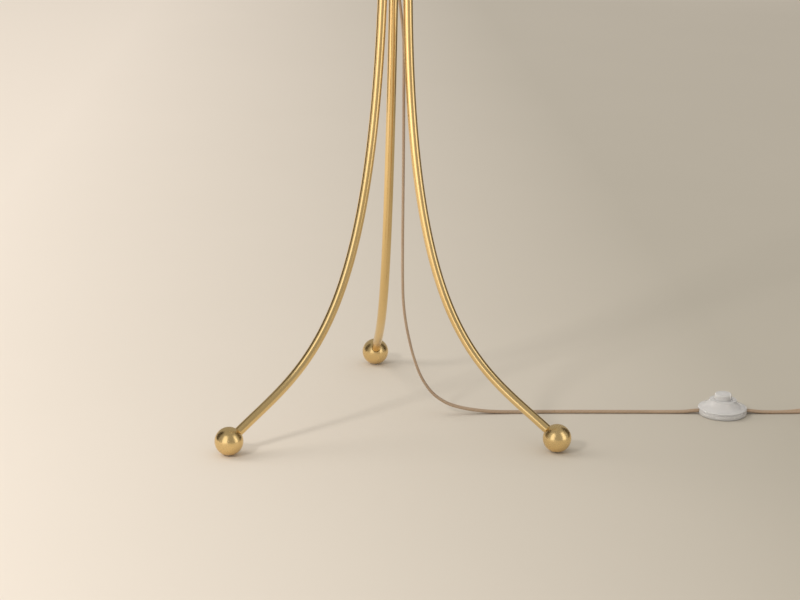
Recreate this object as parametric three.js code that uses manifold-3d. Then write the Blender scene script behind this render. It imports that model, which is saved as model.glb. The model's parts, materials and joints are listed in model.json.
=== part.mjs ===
// A tripod floor lamp: three flared brass rods on ball feet, a turned hub, a stem, a harp with a
// fabric shade, and a flat mains cord with a step-on foot switch.
// Millimetres, +Z up, floor at z = 0. The origin lies under the middle of the lamp's box.
import * as THREE from "three";
import { mergeVertices } from "three/addons/utils/BufferGeometryUtils.js";
import Module from "manifold-3d";

const wasm = await Module();
wasm.setup();

// ---------- Driving dimensions ----------

// Gaps between neighbouring pieces.
const seatGap = 0.3; // between two faces that rest on each other
const fitGap = 0.3; // round a piece that sits in a hole
const runningGap = 0.5; // round a piece that turns or slides

// Cord.
const cordWidth = 6.8;
const cordThickness = 3.4;

// Legs and feet.
const ballDiameter = 36;
const footCircleRadius = 232; // lamp axis to the centre of each ball
const footDirections = { back: 90, left: 210, right: 330 }; // degrees from +X
const rodDiameter = 11.6;
const rodCircleRadius = 16.4; // lamp axis to each rod where it enters the hub
const footLean = 55; // rod's angle from vertical at its foot
const footPull = 142; // how far the rod keeps to its foot direction
const hubPull = 502; // how far it keeps to vertical below the hub
const rodEndInset = 9; // ball centre to the end of the rod
const rodStraight = 17; // straight length at the foot of the rod
const rodHubDepth = 30; // how far a rod goes up into the hub
const studDiameter = 6;
const studLength = 18;
const studTipDepth = 5; // from the stud's tip to the end of the rod's straight stretch
const studHoleSpare = 2; // how far the rod's tapped hole goes on past the stud
const padDiameter = 9.6;
const padThickness = 3;

// Hub.
const hubUnderside = 640;
const hubWall = 5.8; // brass outside a rod's bore
const hubBodyHeight = 42;
const hubShoulderHeight = 26;
const grubDiameter = 5;
const grubHeight = 16; // above the hub's underside
const grubKeyRadius = 1.3;
const grubKeyDepth = 2;
const grubInset = 0.6; // from the hub's side in to the screw's end

// Cord bushing in the hub.
const bushingLength = 30;
const bushingMouthWall = 1.5; // beside the cord's wide side
const bushingPlugWall = 1.9;
const bushingFlange = 1.6; // how far the flange stands out from the plug
const bushingPlugHeight = 12;

// Stem.
const stemRadius = 8;
const cordClearance = 0.4; // round the cord in the nipples and the hub
const nippleWall = 1.3;
const nippleReach = 14; // into each piece that a nipple joins
const lowerStemLength = 270;
const upperStemLength = 245;
const stemSocketDepth = 6; // of each counterbore that a stem tube sits in
const stemSocketWall = 2.6; // round such a counterbore
const couplerHeight = 24;
const neckCapHeight = 16;
const neckCapRadius = 15;

// Harp and its saddle.
const saddleThickness = 2;
const saddleHoleWall = 2.2; // beside the hole for the nipple
const harpFootSpacing = 68; // between the harp's two feet
const harpWidth = 112;
const harpHeight = 224;
const harpWidestShare = 0.46; // height of the widest point as a share of the harp's height
const harpWire = 3.4;
const saddlePostHeight = 11;
const sleeveWall = 1.9;
const sleeveHeight = 14;
const sleeveTravel = 12;
const harpPlateRadius = 7;
const harpPlateThickness = 2.4;
const harpStudRadius = 3.2;
const harpStudLength = 15;

// Lampholder.
const socketShellRadius = 16.8;
const socketWall = 0.7;
const socketCapHeight = 20;
const socketShellHeight = 42;
const linerWall = 0.6;
const coreHeight = 12;
const screwShellRadius = 13.2; // inside
const screwShellHeight = 24;
const contactRadius = 3.6;

// Bulb.
const bulbRadius = 30;
const bulbLength = 108;
const bulbBaseHeight = 26;
const glassWall = 0.9;

// Shade and finial.
const shadeTopRadius = 188;
const shadeBottomRadius = 215;
const shadeHeight = 275;
const shadeWall = 1.4;
const shadeWire = 3.2;
const spiderDrop = 14; // shade's top edge down to the washer
const spiderWasherRadius = 14;
const spiderWasherThickness = 1.8;
const finialHeight = 30;
const finialBallRadius = 10;

// Foot switch.
const switchRadius = 31.5;
const switchX = 437; // lamp axis to the switch's centre
const switchY = 18;
const switchRimHeight = 7;
const switchCoverTop = 19.4;
const switchWall = 1.7;
const switchFloor = 2;
const buttonRadius = 10.8;
const buttonTop = 28;
const buttonTravel = 4;
const buttonFlange = 1.6; // how far the flange stands out below the cover
const coverLedge = 5.4; // from the button's flange out to the cover's sloping side
const switchScrewInset = 6.5; // from the rim to the middle of each screw

// Coil of spare cord, its ties and the plug.
const coilX = 592;
const coilY = -22;
const coilRadius = 38; // at the middle of the turns
const coilThickness = 12.4; // across the turns
const coilHeight = 14.2;
const tieWidth = 8;
const tieThickness = 0.6;
const plugWidth = 24;
const plugLength = 27;
const plugHeight = 12;
const plugNeckLength = 18;
const plugY = -98; // the end of the cord, where the plug's neck begins
const bladeSpacing = 12.7;
const bladeWidth = 6.35;
const bladeThickness = 1.5;
const bladeLength = 16;
const bladeRoot = 9; // how far a blade goes back into the plug's body

// Facets.
const fineSides = 18;
const roundSides = 14;
const smallSides = 8;
const hoopSides = 36; // round the shade's wide rings

// Sizes that follow from the ones above.
const cordReach = Math.hypot(cordWidth / 2, cordThickness / 4);
const nippleBore = cordReach + cordClearance;
const nippleRadius = nippleBore + nippleWall;
const cordWayRadius = nippleBore + cordClearance;
const bushingMouthRadius = cordWidth / 2 + fitGap + bushingMouthWall;
const bushingPlugRadius = cordWidth / 2 + fitGap + bushingPlugWall;
const bushingFlangeRadius = bushingPlugRadius + bushingFlange;
const stemCollarRadius = stemRadius + stemSocketWall;
const saddleWidth = 2 * (nippleRadius + fitGap + saddleHoleWall);
const switchScrewOffset = switchRadius - switchScrewInset;

// ---------- Colours and finishes ----------

const brass = { color: 0xc79a4b, roughness: 0.28, metalness: 1 };
const rawBrass = { color: 0xb8924a, roughness: 0.45, metalness: 1 };
const steel = { color: 0xb9bcc0, roughness: 0.35, metalness: 1 };
const clearPlastic = {
  color: 0xe4e1de,
  roughness: 0.25,
  metalness: 0,
  opacity: 0.55,
  transparent: true,
};
const whitePlastic = { color: 0xe9e6e0, roughness: 0.5, metalness: 0 };
const blackPlastic = { color: 0x1d1b1a, roughness: 0.55, metalness: 0 };
const cordPlastic = { color: 0x9a7654, roughness: 0.4, metalness: 0 };
const paperLiner = { color: 0xb99c72, roughness: 0.9, metalness: 0 };
const glass = {
  color: 0xf7f5f0,
  roughness: 0.15,
  metalness: 0,
  opacity: 0.6,
  transparent: true,
};
const linen = { color: 0xefe7d8, roughness: 0.95, metalness: 0 };

// ---------- Solids ----------

const toRadians = THREE.MathUtils.degToRad;

// A geometry's shared vertices merged, without the empty triangles that merging leaves.
function merged(geometry) {
  const bare = geometry.index ? geometry.toNonIndexed() : geometry.clone();
  bare.deleteAttribute("normal");
  bare.deleteAttribute("uv");
  const joined = mergeVertices(bare, 1e-4);
  const corners = joined.index.array;
  const kept = [];
  for (let i = 0; i < corners.length; i += 3) {
    const [a, b, c] = corners.slice(i, i + 3);
    if (a !== b && b !== c && c !== a) kept.push(a, b, c);
  }
  joined.setIndex(kept);
  return joined;
}

function manifoldOf(geometry) {
  const joined = merged(geometry);
  const vertProperties = new Float32Array(joined.attributes.position.array);
  const triVerts = new Uint32Array(joined.index.array);
  const solid = new wasm.Manifold(new wasm.Mesh({ numProp: 3, vertProperties, triVerts }));
  if (solid.volume() > 0) return solid;
  for (let i = 0; i < triVerts.length; i += 3) {
    [triVerts[i + 1], triVerts[i + 2]] = [triVerts[i + 2], triVerts[i + 1]];
  }
  return new wasm.Manifold(new wasm.Mesh({ numProp: 3, vertProperties, triVerts }));
}

function geometryOf(solid) {
  const { vertProperties, triVerts, numProp } = solid.getMesh();
  const geometry = new THREE.BufferGeometry();
  const position = new THREE.InterleavedBuffer(new Float32Array(vertProperties), numProp);
  geometry.setAttribute("position", new THREE.InterleavedBufferAttribute(position, 3, 0));
  geometry.setIndex([...triVerts]);
  const flat = geometry.toNonIndexed();
  flat.computeVertexNormals();
  return flat;
}

const join = (first, ...others) => others.reduce((all, other) => all.add(other), first);
const cut = (body, ...tools) => tools.reduce((left, tool) => left.subtract(tool), body);

// A turned piece about +Z from its outline of [radius, z] points.
function turned(outline, sides = roundSides) {
  const points = outline.map(([radius, z]) => new THREE.Vector2(radius, z));
  return manifoldOf(new THREE.LatheGeometry(points, sides).rotateX(Math.PI / 2));
}

// A turned piece whose outline closes on itself away from the axis.
const turnedRing = (outline, sides) => turned([...outline, outline[0]], sides);

const disc = (radius, low, high, sides) =>
  turned([[0, low], [radius, low], [radius, high], [0, high]], sides);

const sleeve = (outer, inner, low, high, sides) =>
  turnedRing([[outer, low], [outer, high], [inner, high], [inner, low]], sides);

// Points of an arc in an outline, from one angle to another in degrees.
function arc(centreRadius, centreZ, radius, from, to, steps) {
  return Array.from({ length: steps + 1 }, (_, i) => {
    const angle = toRadians(from + ((to - from) * i) / steps);
    return [centreRadius + radius * Math.cos(angle), centreZ + radius * Math.sin(angle)];
  });
}

function box(width, depth, low, high, x = 0, y = 0) {
  const block = new THREE.BoxGeometry(width, depth, high - low);
  return manifoldOf(block.translate(x, y, (low + high) / 2));
}

function outlineShape(points) {
  return new THREE.Shape(points.map(([x, y]) => new THREE.Vector2(x, y)));
}

const roundSection = (radius, sides) =>
  outlineShape(
    Array.from({ length: sides }, (_, i) => {
      const angle = (2 * Math.PI * (i + 0.5)) / sides;
      return [radius * Math.cos(angle), radius * Math.sin(angle)];
    }),
  );

// A solid of one section swept along a curve.
function swept(section, curve, steps) {
  const options = { extrudePath: curve, steps, bevelEnabled: false };
  return manifoldOf(new THREE.ExtrudeGeometry(section, options));
}

// A torus about +Z as a swept round wire.
function wireRing(radius, wireRadius, z, sides) {
  return turnedRing(arc(radius, z, wireRadius, 0, 300, 5), sides);
}

// A straight pin between two points.
function pin(radius, from, to, sides = smallSides) {
  const along = to.clone().sub(from);
  const geometry = new THREE.CylinderGeometry(radius, radius, along.length(), sides);
  geometry.applyQuaternion(
    new THREE.Quaternion().setFromUnitVectors(new THREE.Vector3(0, 1, 0), along.clone().normalize()),
  );
  const middle = from.clone().add(to).multiplyScalar(0.5);
  return manifoldOf(geometry.translate(middle.x, middle.y, middle.z));
}

const at = (x, y, z) => new THREE.Vector3(x, y, z);

// ---------- The lamp's group ----------

// The feet reach further back than the shade does forward, so the box's middle is off the axis.
const ballRadius = ballDiameter / 2;
const lampBack = Math.max(footCircleRadius + ballRadius, shadeBottomRadius);
const lampFront = Math.max(footCircleRadius / 2 + ballRadius, shadeBottomRadius);
const lamp = new THREE.Group();
lamp.position.set(0, (lampFront - lampBack) / 2, 0);
const floorLamp = new THREE.Group();
floorLamp.add(lamp);

function place(name, solid, finish, parent = lamp) {
  const material = new THREE.MeshStandardMaterial(finish);
  const mesh = new THREE.Mesh(geometryOf(solid), material);
  mesh.name = name;
  parent.add(mesh);
  return mesh;
}

// ---------- Legs ----------

const rodRadius = rodDiameter / 2;
const ballCentre = at(footCircleRadius, 0, ballRadius);
const footDirection = at(-Math.sin(toRadians(footLean)), 0, Math.cos(toRadians(footLean)));
const studEnd = rodEndInset + rodStraight - studTipDepth;
const studStart = studEnd - studLength;
const alongFoot = (distance) => ballCentre.clone().addScaledVector(footDirection, distance);

function legRod() {
  const route = new THREE.CurvePath();
  const bendStart = alongFoot(rodEndInset + rodStraight);
  const atHub = at(rodCircleRadius, 0, hubUnderside);
  route.add(new THREE.LineCurve3(alongFoot(rodEndInset), bendStart));
  route.add(
    new THREE.CubicBezierCurve3(
      bendStart,
      alongFoot(footPull),
      at(rodCircleRadius, 0, hubUnderside - hubPull),
      atHub,
    ),
  );
  route.add(new THREE.LineCurve3(atHub, at(rodCircleRadius, 0, hubUnderside + rodHubDepth)));
  const tapped = pin(
    studDiameter / 2 + fitGap,
    alongFoot(rodEndInset - 1),
    alongFoot(studEnd + studHoleSpare),
  );
  return cut(swept(roundSection(rodRadius, smallSides), route, 28), tapped);
}

function ballFoot() {
  const ball = manifoldOf(
    new THREE.SphereGeometry(ballRadius, 16, 10).rotateX(Math.PI / 2).translate(...ballCentre),
  );
  const seatFloor = alongFoot(rodEndInset - seatGap);
  const rodSeat = pin(rodRadius + fitGap, seatFloor, alongFoot(ballDiameter), roundSides);
  const studHole = pin(studDiameter / 2 + fitGap, alongFoot(studStart - 1), alongFoot(rodEndInset));
  const pocket = disc(padDiameter / 2 + fitGap, -1, padThickness + seatGap, 16).translate(
    footCircleRadius,
    0,
    0,
  );
  return cut(ball, rodSeat, studHole, pocket);
}

const footStud = () =>
  pin(studDiameter / 2, alongFoot(studStart), alongFoot(studEnd));
const footPad = () => disc(padDiameter / 2, 0, padThickness, 16).translate(footCircleRadius, 0, 0);

const hubRadius = rodCircleRadius + rodRadius + hubWall;
function grubScrew() {
  const z = hubUnderside + grubHeight;
  const inner = at(rodCircleRadius + rodRadius + seatGap, 0, z);
  const outer = at(hubRadius - grubInset, 0, z);
  const screw = pin(grubDiameter / 2, inner, outer);
  const keyHole = pin(grubKeyRadius, at(outer.x - grubKeyDepth, 0, z), at(outer.x + 1, 0, z), 6);
  return cut(screw, keyHole);
}

for (const [side, degrees] of Object.entries(footDirections)) {
  const leg = new THREE.Group();
  leg.rotation.z = toRadians(degrees);
  lamp.add(leg);
  place(`leg_rod_${side}`, legRod(), brass, leg);
  place(`ball_foot_${side}`, ballFoot(), brass, leg);
  place(`foot_stud_${side}`, footStud(), steel, leg);
  place(`foot_pad_${side}`, footPad(), clearPlastic, leg);
  place(`hub_grub_screw_${side}`, grubScrew(), steel, leg);
}

// ---------- Hub and cord bushing ----------

const hubShoulder = hubUnderside + hubBodyHeight;
const hubTop = hubShoulder + hubShoulderHeight;
const lowerStemFoot = hubTop - stemSocketDepth + seatGap;
const hubNippleLow = lowerStemFoot - seatGap - nippleReach;

function hubBody() {
  const edge = 1.6;
  const crown = hubShoulder + 6;
  const body = turned(
    [
      [0, hubUnderside],
      ...arc(hubRadius - edge, hubUnderside + edge, edge, -90, 0, 3),
      ...arc(hubRadius - 6, hubShoulder, 6, 0, 70, 4),
      [stemCollarRadius + 5, crown + 2],
      [stemCollarRadius + 1.4, crown + 7],
      [stemCollarRadius, hubTop - 6],
      [stemCollarRadius, hubTop - 1],
      [stemCollarRadius - 1, hubTop],
      [0, hubTop],
    ],
    fineSides,
  );
  const rodBores = Object.values(footDirections).map((degrees) =>
    disc(rodRadius + fitGap, hubUnderside - 1, hubUnderside + rodHubDepth + seatGap)
      .translate(rodCircleRadius, 0, 0)
      .rotate([0, 0, degrees]),
  );
  const grubBores = Object.values(footDirections).map((degrees) => {
    const z = hubUnderside + grubHeight;
    const bore = pin(grubDiameter / 2 + fitGap, at(rodCircleRadius, 0, z), at(hubRadius + 1, 0, z));
    return bore.rotate([0, 0, degrees]);
  });
  return cut(
    body,
    ...rodBores,
    ...grubBores,
    disc(cordWayRadius, hubUnderside - 1, hubTop + 1),
    disc(bushingPlugRadius + fitGap, hubUnderside - 1, hubUnderside + bushingPlugHeight + seatGap),
    disc(nippleRadius + fitGap, hubNippleLow - seatGap, hubTop + 1),
    disc(stemRadius + fitGap, hubTop - stemSocketDepth, hubTop + 1),
  );
}

const bushingMouth = hubUnderside - bushingLength;
function cordBushing() {
  const flangeTop = hubUnderside - seatGap;
  const outside = turned([
    [0, bushingMouth],
    [bushingMouthRadius - 0.6, bushingMouth],
    [bushingMouthRadius, bushingMouth + 0.8],
    [bushingMouthRadius + 0.8, flangeTop - 5],
    [bushingFlangeRadius, flangeTop - 2.4],
    [bushingFlangeRadius, flangeTop],
    [bushingPlugRadius, flangeTop],
    [bushingPlugRadius, hubUnderside + bushingPlugHeight],
    [0, hubUnderside + bushingPlugHeight],
  ]);
  const slot = box(
    cordThickness + 2 * fitGap,
    cordWidth + 2 * fitGap,
    bushingMouth - 1,
    hubUnderside + bushingPlugHeight + 1,
  );
  return cut(outside, slot);
}

place("hub_body", hubBody(), brass);
place("cord_bushing", cordBushing(), blackPlastic);

// ---------- Stem ----------

const nipple = (low, high) => sleeve(nippleRadius, nippleBore, low, high, 16);
const stemTube = (low, high) => sleeve(stemRadius, nippleRadius + fitGap, low, high);

const lowerStemTop = lowerStemFoot + lowerStemLength;
const couplerFoot = lowerStemTop - stemSocketDepth + seatGap;
const couplerTop = couplerFoot + couplerHeight;
const upperStemFoot = couplerTop - stemSocketDepth + seatGap;
const upperStemTop = upperStemFoot + upperStemLength;
const neckCapFoot = upperStemTop - stemSocketDepth + seatGap;
const neckCapTop = neckCapFoot + neckCapHeight;
const saddleFoot = neckCapTop + seatGap;
const saddleTop = saddleFoot + saddleThickness;
const socketCapFoot = saddleTop + seatGap;

function coupler() {
  const outline = [
    [0, couplerFoot],
    [stemCollarRadius - 1.6, couplerFoot],
    [stemCollarRadius - 0.6, couplerFoot + 1],
    [stemCollarRadius - 0.6, couplerFoot + 5],
    ...arc(stemCollarRadius - 2, (couplerFoot + couplerTop) / 2, 4, -60, 60, 6),
    [stemCollarRadius - 0.6, couplerTop - 5],
    [stemCollarRadius - 0.6, couplerTop - 1],
    [stemCollarRadius - 1.6, couplerTop],
    [0, couplerTop],
  ];
  return cut(
    turned(outline, fineSides),
    disc(nippleRadius + fitGap, couplerFoot - 1, couplerTop + 1),
    disc(stemRadius + fitGap, couplerFoot - 1, couplerFoot + stemSocketDepth),
    disc(stemRadius + fitGap, couplerTop - stemSocketDepth, couplerTop + 1),
  );
}

function neckCap() {
  const outline = [
    [0, neckCapFoot],
    [stemCollarRadius - 0.4, neckCapFoot],
    [stemCollarRadius, neckCapFoot + 1],
    [stemCollarRadius + 0.6, neckCapFoot + 5],
    [neckCapRadius - 1.2, neckCapTop - 5],
    [neckCapRadius, neckCapTop - 3],
    [neckCapRadius, neckCapTop - 0.6],
    [neckCapRadius - 0.6, neckCapTop],
    [0, neckCapTop],
  ];
  return cut(
    turned(outline, fineSides),
    disc(nippleRadius + fitGap, neckCapFoot - 1, neckCapTop + 1),
    disc(stemRadius + fitGap, neckCapFoot - 1, neckCapFoot + stemSocketDepth),
  );
}

const couplerMiddle = (couplerFoot + couplerTop) / 2;
const topNippleTop = socketCapFoot + nippleReach;
place("hub_nipple", nipple(hubNippleLow, lowerStemFoot + nippleReach), steel);
place("stem_lower", stemTube(lowerStemFoot, lowerStemTop), brass);
place("stem_coupler", coupler(), brass);
place("coupler_nipple", nipple(couplerMiddle - nippleReach, couplerMiddle + nippleReach), steel);
place("stem_upper", stemTube(upperStemFoot, upperStemTop), brass);
place("neck_cap", neckCap(), brass);
place("neck_nipple", nipple(upperStemTop - nippleReach, topNippleTop), steel);

// ---------- Harp, saddle and sleeves ----------

const harpFootX = harpFootSpacing / 2;
const wireRadius = harpWire / 2;
const saddleEarRadius = wireRadius + runningGap + sleeveWall;
const saddleEarTop = saddleTop + 1.4;
const postTop = saddleEarTop + saddlePostHeight;
const harpFoot = postTop + seatGap;
const sleeveFoot = saddleEarTop + seatGap;
const harpPlateFoot = saddleTop + harpHeight;
const harpPlateTop = harpPlateFoot + harpPlateThickness;

function harpSaddle() {
  const strip = box(harpFootSpacing, saddleWidth, saddleFoot, saddleTop);
  const ends = [-harpFootX, harpFootX].flatMap((x) => [
    disc(saddleWidth / 2, saddleFoot, saddleTop, 16).translate(x, 0, 0),
    disc(saddleEarRadius, saddleTop - 0.5, saddleEarTop, 16).translate(x, 0, 0),
    disc(wireRadius, saddleTop - 0.5, postTop, smallSides).translate(x, 0, 0),
  ]);
  const hole = disc(nippleRadius + fitGap, saddleFoot - 1, saddleTop + 1);
  return cut(join(strip, ...ends), hole);
}

function harp() {
  const straight = sleeveHeight + sleeveTravel;
  const shoulder = harpFoot + straight;
  const widest = harpFoot + harpWidestShare * harpHeight;
  const apex = harpPlateTop - wireRadius - 0.2;
  const half = [
    at(harpFootX, 0, harpFoot),
    at(harpFootX, 0, harpFoot + straight * 0.5),
    at(harpFootX, 0, shoulder),
    at(harpWidth / 2 - 6, 0, shoulder + 24),
    at(harpWidth / 2, 0, widest),
    at(harpWidth / 2 - 5, 0, harpPlateFoot - 56),
    at(harpWidth / 2 - 20, 0, harpPlateFoot - 18),
    at(16, 0, apex - 1.4),
    at(0, 0, apex),
  ];
  const otherHalf = half
    .slice(0, -1)
    .reverse()
    .map((p) => at(-p.x, p.y, p.z));
  const wire = swept(
    roundSection(wireRadius, 6),
    new THREE.CatmullRomCurve3([...half, ...otherHalf], false, "centripetal"),
    44,
  );
  const plate = disc(harpPlateRadius, harpPlateFoot, harpPlateTop, 16);
  const stud = disc(harpStudRadius, harpPlateFoot, harpPlateTop + harpStudLength, 16);
  return join(wire, plate, stud);
}

place("harp_saddle", harpSaddle(), brass);
place("harp", harp(), brass);
for (const [side, x] of [["left", -harpFootX], ["right", harpFootX]]) {
  const tube = sleeve(saddleEarRadius, wireRadius + runningGap, sleeveFoot, sleeveFoot + sleeveHeight, 16);
  place(`harp_sleeve_${side}`, tube, brass).position.x = x;
}

// ---------- Lampholder ----------

const socketCapTop = socketCapFoot + socketCapHeight;
const shellFoot = socketCapTop + seatGap;
const shellTop = shellFoot + socketShellHeight;
const coreFoot = topNippleTop + 2;
const coreTop = coreFoot + coreHeight;
const screwShellFoot = coreTop + seatGap;
const screwShellWall = 0.5;
const linerRadius = socketShellRadius - socketWall - fitGap;
const coreRadius = linerRadius - linerWall - fitGap;

function socketCap() {
  const collar = nippleRadius + fitGap + 2.4;
  const outside = turned(
    [
      [0, socketCapFoot],
      [collar, socketCapFoot],
      [collar, socketCapFoot + 6],
      [socketShellRadius - 5, socketCapFoot + 9],
      [socketShellRadius - 1.4, socketCapFoot + 12.5],
      [socketShellRadius + 0.4, socketCapFoot + 16],
      [socketShellRadius + 0.4, socketCapTop],
      [0, socketCapTop],
    ],
    fineSides,
  );
  const hollow = turned([
    [0, socketCapFoot + 7.5],
    [collar + 1, socketCapFoot + 9.5],
    [socketShellRadius - 2.6, socketCapFoot + 13.4],
    [socketShellRadius - socketWall, socketCapFoot + 16.4],
    [socketShellRadius - socketWall, socketCapTop + 1],
    [0, socketCapTop + 1],
  ], fineSides);
  return cut(outside, hollow, disc(nippleRadius + fitGap, socketCapFoot - 1, topNippleTop + 1));
}

function socketCore() {
  const hubOfCore = disc(coreRadius, coreFoot + 3, coreTop, fineSides);
  const foot = disc(nippleRadius + 4, coreFoot, coreFoot + 3.5);
  const wireWay = disc(nippleBore, coreFoot - 1, coreTop - 3);
  return cut(join(hubOfCore, foot), wireWay);
}

const screwShellTop = screwShellFoot + screwShellHeight;
const screwShell = () =>
  turnedRing(
    [
      [screwShellRadius + screwShellWall, screwShellFoot],
      [screwShellRadius + screwShellWall, screwShellTop],
      [screwShellRadius, screwShellTop],
      [screwShellRadius, screwShellFoot + screwShellWall],
      [contactRadius + 3, screwShellFoot + screwShellWall],
      [contactRadius + 3, screwShellFoot],
    ],
    fineSides,
  );

place("socket_cap", socketCap(), brass);
place(
  "socket_shell",
  sleeve(socketShellRadius, socketShellRadius - socketWall, shellFoot, shellTop, fineSides),
  brass,
);
place(
  "socket_liner",
  sleeve(linerRadius, linerRadius - linerWall, coreTop - 6, shellTop - 1, fineSides),
  paperLiner,
);
place("socket_core", socketCore(), blackPlastic);
place("screw_shell", screwShell(), rawBrass);
place("centre_contact", disc(contactRadius, screwShellFoot, screwShellFoot + 0.8, 16), rawBrass);

// ---------- Bulb ----------

const bulbTip = screwShellFoot + screwShellWall + 0.8;
const bulbBaseTop = bulbTip + bulbBaseHeight;
const bulbTop = bulbTip + bulbLength;
const bulbBaseRadius = screwShellRadius - runningGap;

function bulbBase() {
  const wall = 0.5;
  return turned(
    [
      [0, bulbTip],
      [contactRadius, bulbTip],
      [contactRadius + 4, bulbTip + 3],
      [bulbBaseRadius - 0.6, bulbTip + 5],
      [bulbBaseRadius, bulbTip + 6.5],
      [bulbBaseRadius, bulbBaseTop],
      [bulbBaseRadius - wall, bulbBaseTop],
      [bulbBaseRadius - wall, bulbTip + 8],
      [0, bulbTip + 6],
    ],
    fineSides,
  );
}

function bulbGlass() {
  const neck = bulbBaseRadius - 0.5 - fitGap;
  const foot = bulbBaseTop - 10;
  const globe = bulbTop - bulbRadius;
  const neckTop = bulbBaseTop + 8;
  const outline = (inset) => [
    [neck - inset, foot],
    [neck - inset, neckTop - 4],
    [neck + 3.2 - inset, neckTop + 6],
    ...arc(0, globe, bulbRadius - inset, -38, 72, 6),
    [0, bulbTop - inset],
  ];
  return turned([...outline(0), ...outline(glassWall).reverse(), [neck, foot]]);
}

place("bulb_base", bulbBase(), steel);
place("bulb_glass", bulbGlass(), glass);

// ---------- Shade ----------

const washerFoot = harpPlateTop + seatGap;
const washerTop = washerFoot + spiderWasherThickness;
const shadeTop = washerTop + spiderDrop;
const shadeFoot = shadeTop - shadeHeight;
const shadeWireRadius = shadeWire / 2;
const ringInset = shadeWall + fitGap + shadeWireRadius;
const edgeFold = 4; // height of the folded edge that the rings lie behind
const skinRadiusAt = (z) =>
  shadeBottomRadius + ((shadeTopRadius - shadeBottomRadius) * (z - shadeFoot)) / shadeHeight;

const shadeSkin = () =>
  turnedRing(
    [
      [shadeBottomRadius, shadeFoot],
      [shadeTopRadius, shadeTop],
      [shadeTopRadius - shadeWall, shadeTop],
      [shadeBottomRadius - shadeWall, shadeFoot],
    ],
    hoopSides,
  );

function shadeSpider() {
  const ringZ = shadeTop - edgeFold;
  const ringRadius = skinRadiusAt(ringZ) - ringInset - 0.2;
  const washerMiddle = (washerFoot + washerTop) / 2;
  const arms = Object.values(footDirections).map((degrees) => {
    const angle = toRadians(degrees);
    const ray = (radius, z) => at(radius * Math.cos(angle), radius * Math.sin(angle), z);
    const route = new THREE.CurvePath();
    const knee = ray(ringRadius - 26, washerMiddle + 1);
    route.add(new THREE.LineCurve3(ray(spiderWasherRadius - 2, washerMiddle), knee));
    const pull = ray(ringRadius - 10, ringZ - 5);
    route.add(new THREE.QuadraticBezierCurve3(knee, pull, ray(ringRadius, ringZ)));
    return swept(roundSection(shadeWireRadius * 0.86, 6), route, 10);
  });
  const washer = disc(spiderWasherRadius, washerFoot, washerTop);
  const hole = disc(harpStudRadius + runningGap, washerFoot - 1, washerTop + 1, 16);
  return cut(join(wireRing(ringRadius, shadeWireRadius, ringZ, hoopSides), washer, ...arms), hole);
}

const bottomRingZ = shadeFoot + edgeFold;
place("shade_skin", shadeSkin(), linen);
place("shade_spider", shadeSpider(), brass);
place(
  "shade_bottom_ring",
  wireRing(skinRadiusAt(bottomRingZ) - ringInset - 0.2, shadeWireRadius, bottomRingZ, hoopSides),
  brass,
);

function finial() {
  const foot = washerTop + seatGap;
  const top = foot + finialHeight;
  const outside = turned([
    [0, foot],
    [7, foot],
    [7.4, foot + 1],
    [6.4, foot + 4],
    [4.6, foot + 7],
    [4.8, foot + 10],
    ...arc(0, top - finialBallRadius, finialBallRadius, -55, 70, 5),
    [0, top],
  ]);
  return cut(outside, disc(harpStudRadius + runningGap, foot - 1, harpPlateTop + harpStudLength + 1, 16));
}

place("finial", finial(), brass);

// ---------- Cord ----------

// The cord's flat section with cut corners, lying across its first bend.
const cordSection = outlineShape([
  [cordWidth / 2, cordThickness / 4],
  [cordWidth / 2 - 0.9, cordThickness / 2],
  [0.9 - cordWidth / 2, cordThickness / 2],
  [-cordWidth / 2, cordThickness / 4],
  [-cordWidth / 2, -cordThickness / 4],
  [0.9 - cordWidth / 2, -cordThickness / 2],
  [cordWidth / 2 - 0.9, -cordThickness / 2],
  [cordWidth / 2, -cordThickness / 4],
]);

const switchCordZ = switchFloor + fitGap + cordThickness / 2;
const floorCordZ = cordThickness / 2 + 0.15; // a hair clear of the floor all along

// From the bushing down between the rods, on to the floor and along to the switch.
const dropRoute = [
  [0, 0, bushingMouth - seatGap],
  [0.6, 0.2, 585],
  [3.4, 1.2, 555],
  [8.0, 2.8, 525],
  [12.2, 5, 490],
  [14.2, 9.5, 413],
  [15.6, 13.5, 337],
  [16.3, 16.5, 285],
  [17.0, 19, 233],
  [18.2, 21, 180],
  [19.6, 22.2, 153],
  [22.9, 23, 127],
  [28.2, 23.6, 101],
  [35.6, 24, 74],
  [46.2, 24, 48],
  [60.5, 24, 28],
  [77.6, 24, 15.6],
  [93, 24, 9.8],
  [109, 24, 6.3],
  [128, 24.2, 3.6],
  [148, 24.6, 2.2],
  [168, 25, floorCordZ],
  [226, 24.6, floorCordZ],
  [304, 22.4, floorCordZ],
  [366, 20.6, floorCordZ],
  [386, 19.8, 2.2],
  [switchX - switchRadius - seatGap, 19.2, switchCordZ],
];

// From the switch along the floor to the coil.
const tailRoute = [
  [switchX + switchRadius + seatGap, 17.2, switchCordZ],
  [488, 16.6, 2.2],
  [508, 16.3, floorCordZ],
  [538, 16, floorCordZ],
  [563.4, 16, floorCordZ],
];

// From the coil to the plug's neck.
const endRoute = [
  [coilX + coilRadius, coilY - 28.6, 8.6],
  [coilX + coilRadius, coilY - 42, 7.2],
  [coilX + coilRadius, coilY - 58, 6.3],
  [coilX + coilRadius, plugY + seatGap, plugHeight / 2],
];

// A cord solid along chosen points. Its wide side follows the first step's sideways direction.
function cordAlong(points, steps, section = cordSection) {
  const curve = new THREE.CatmullRomCurve3(points.map((p) => at(...p)), false, "centripetal");
  return swept(section, curve, steps);
}

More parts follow.
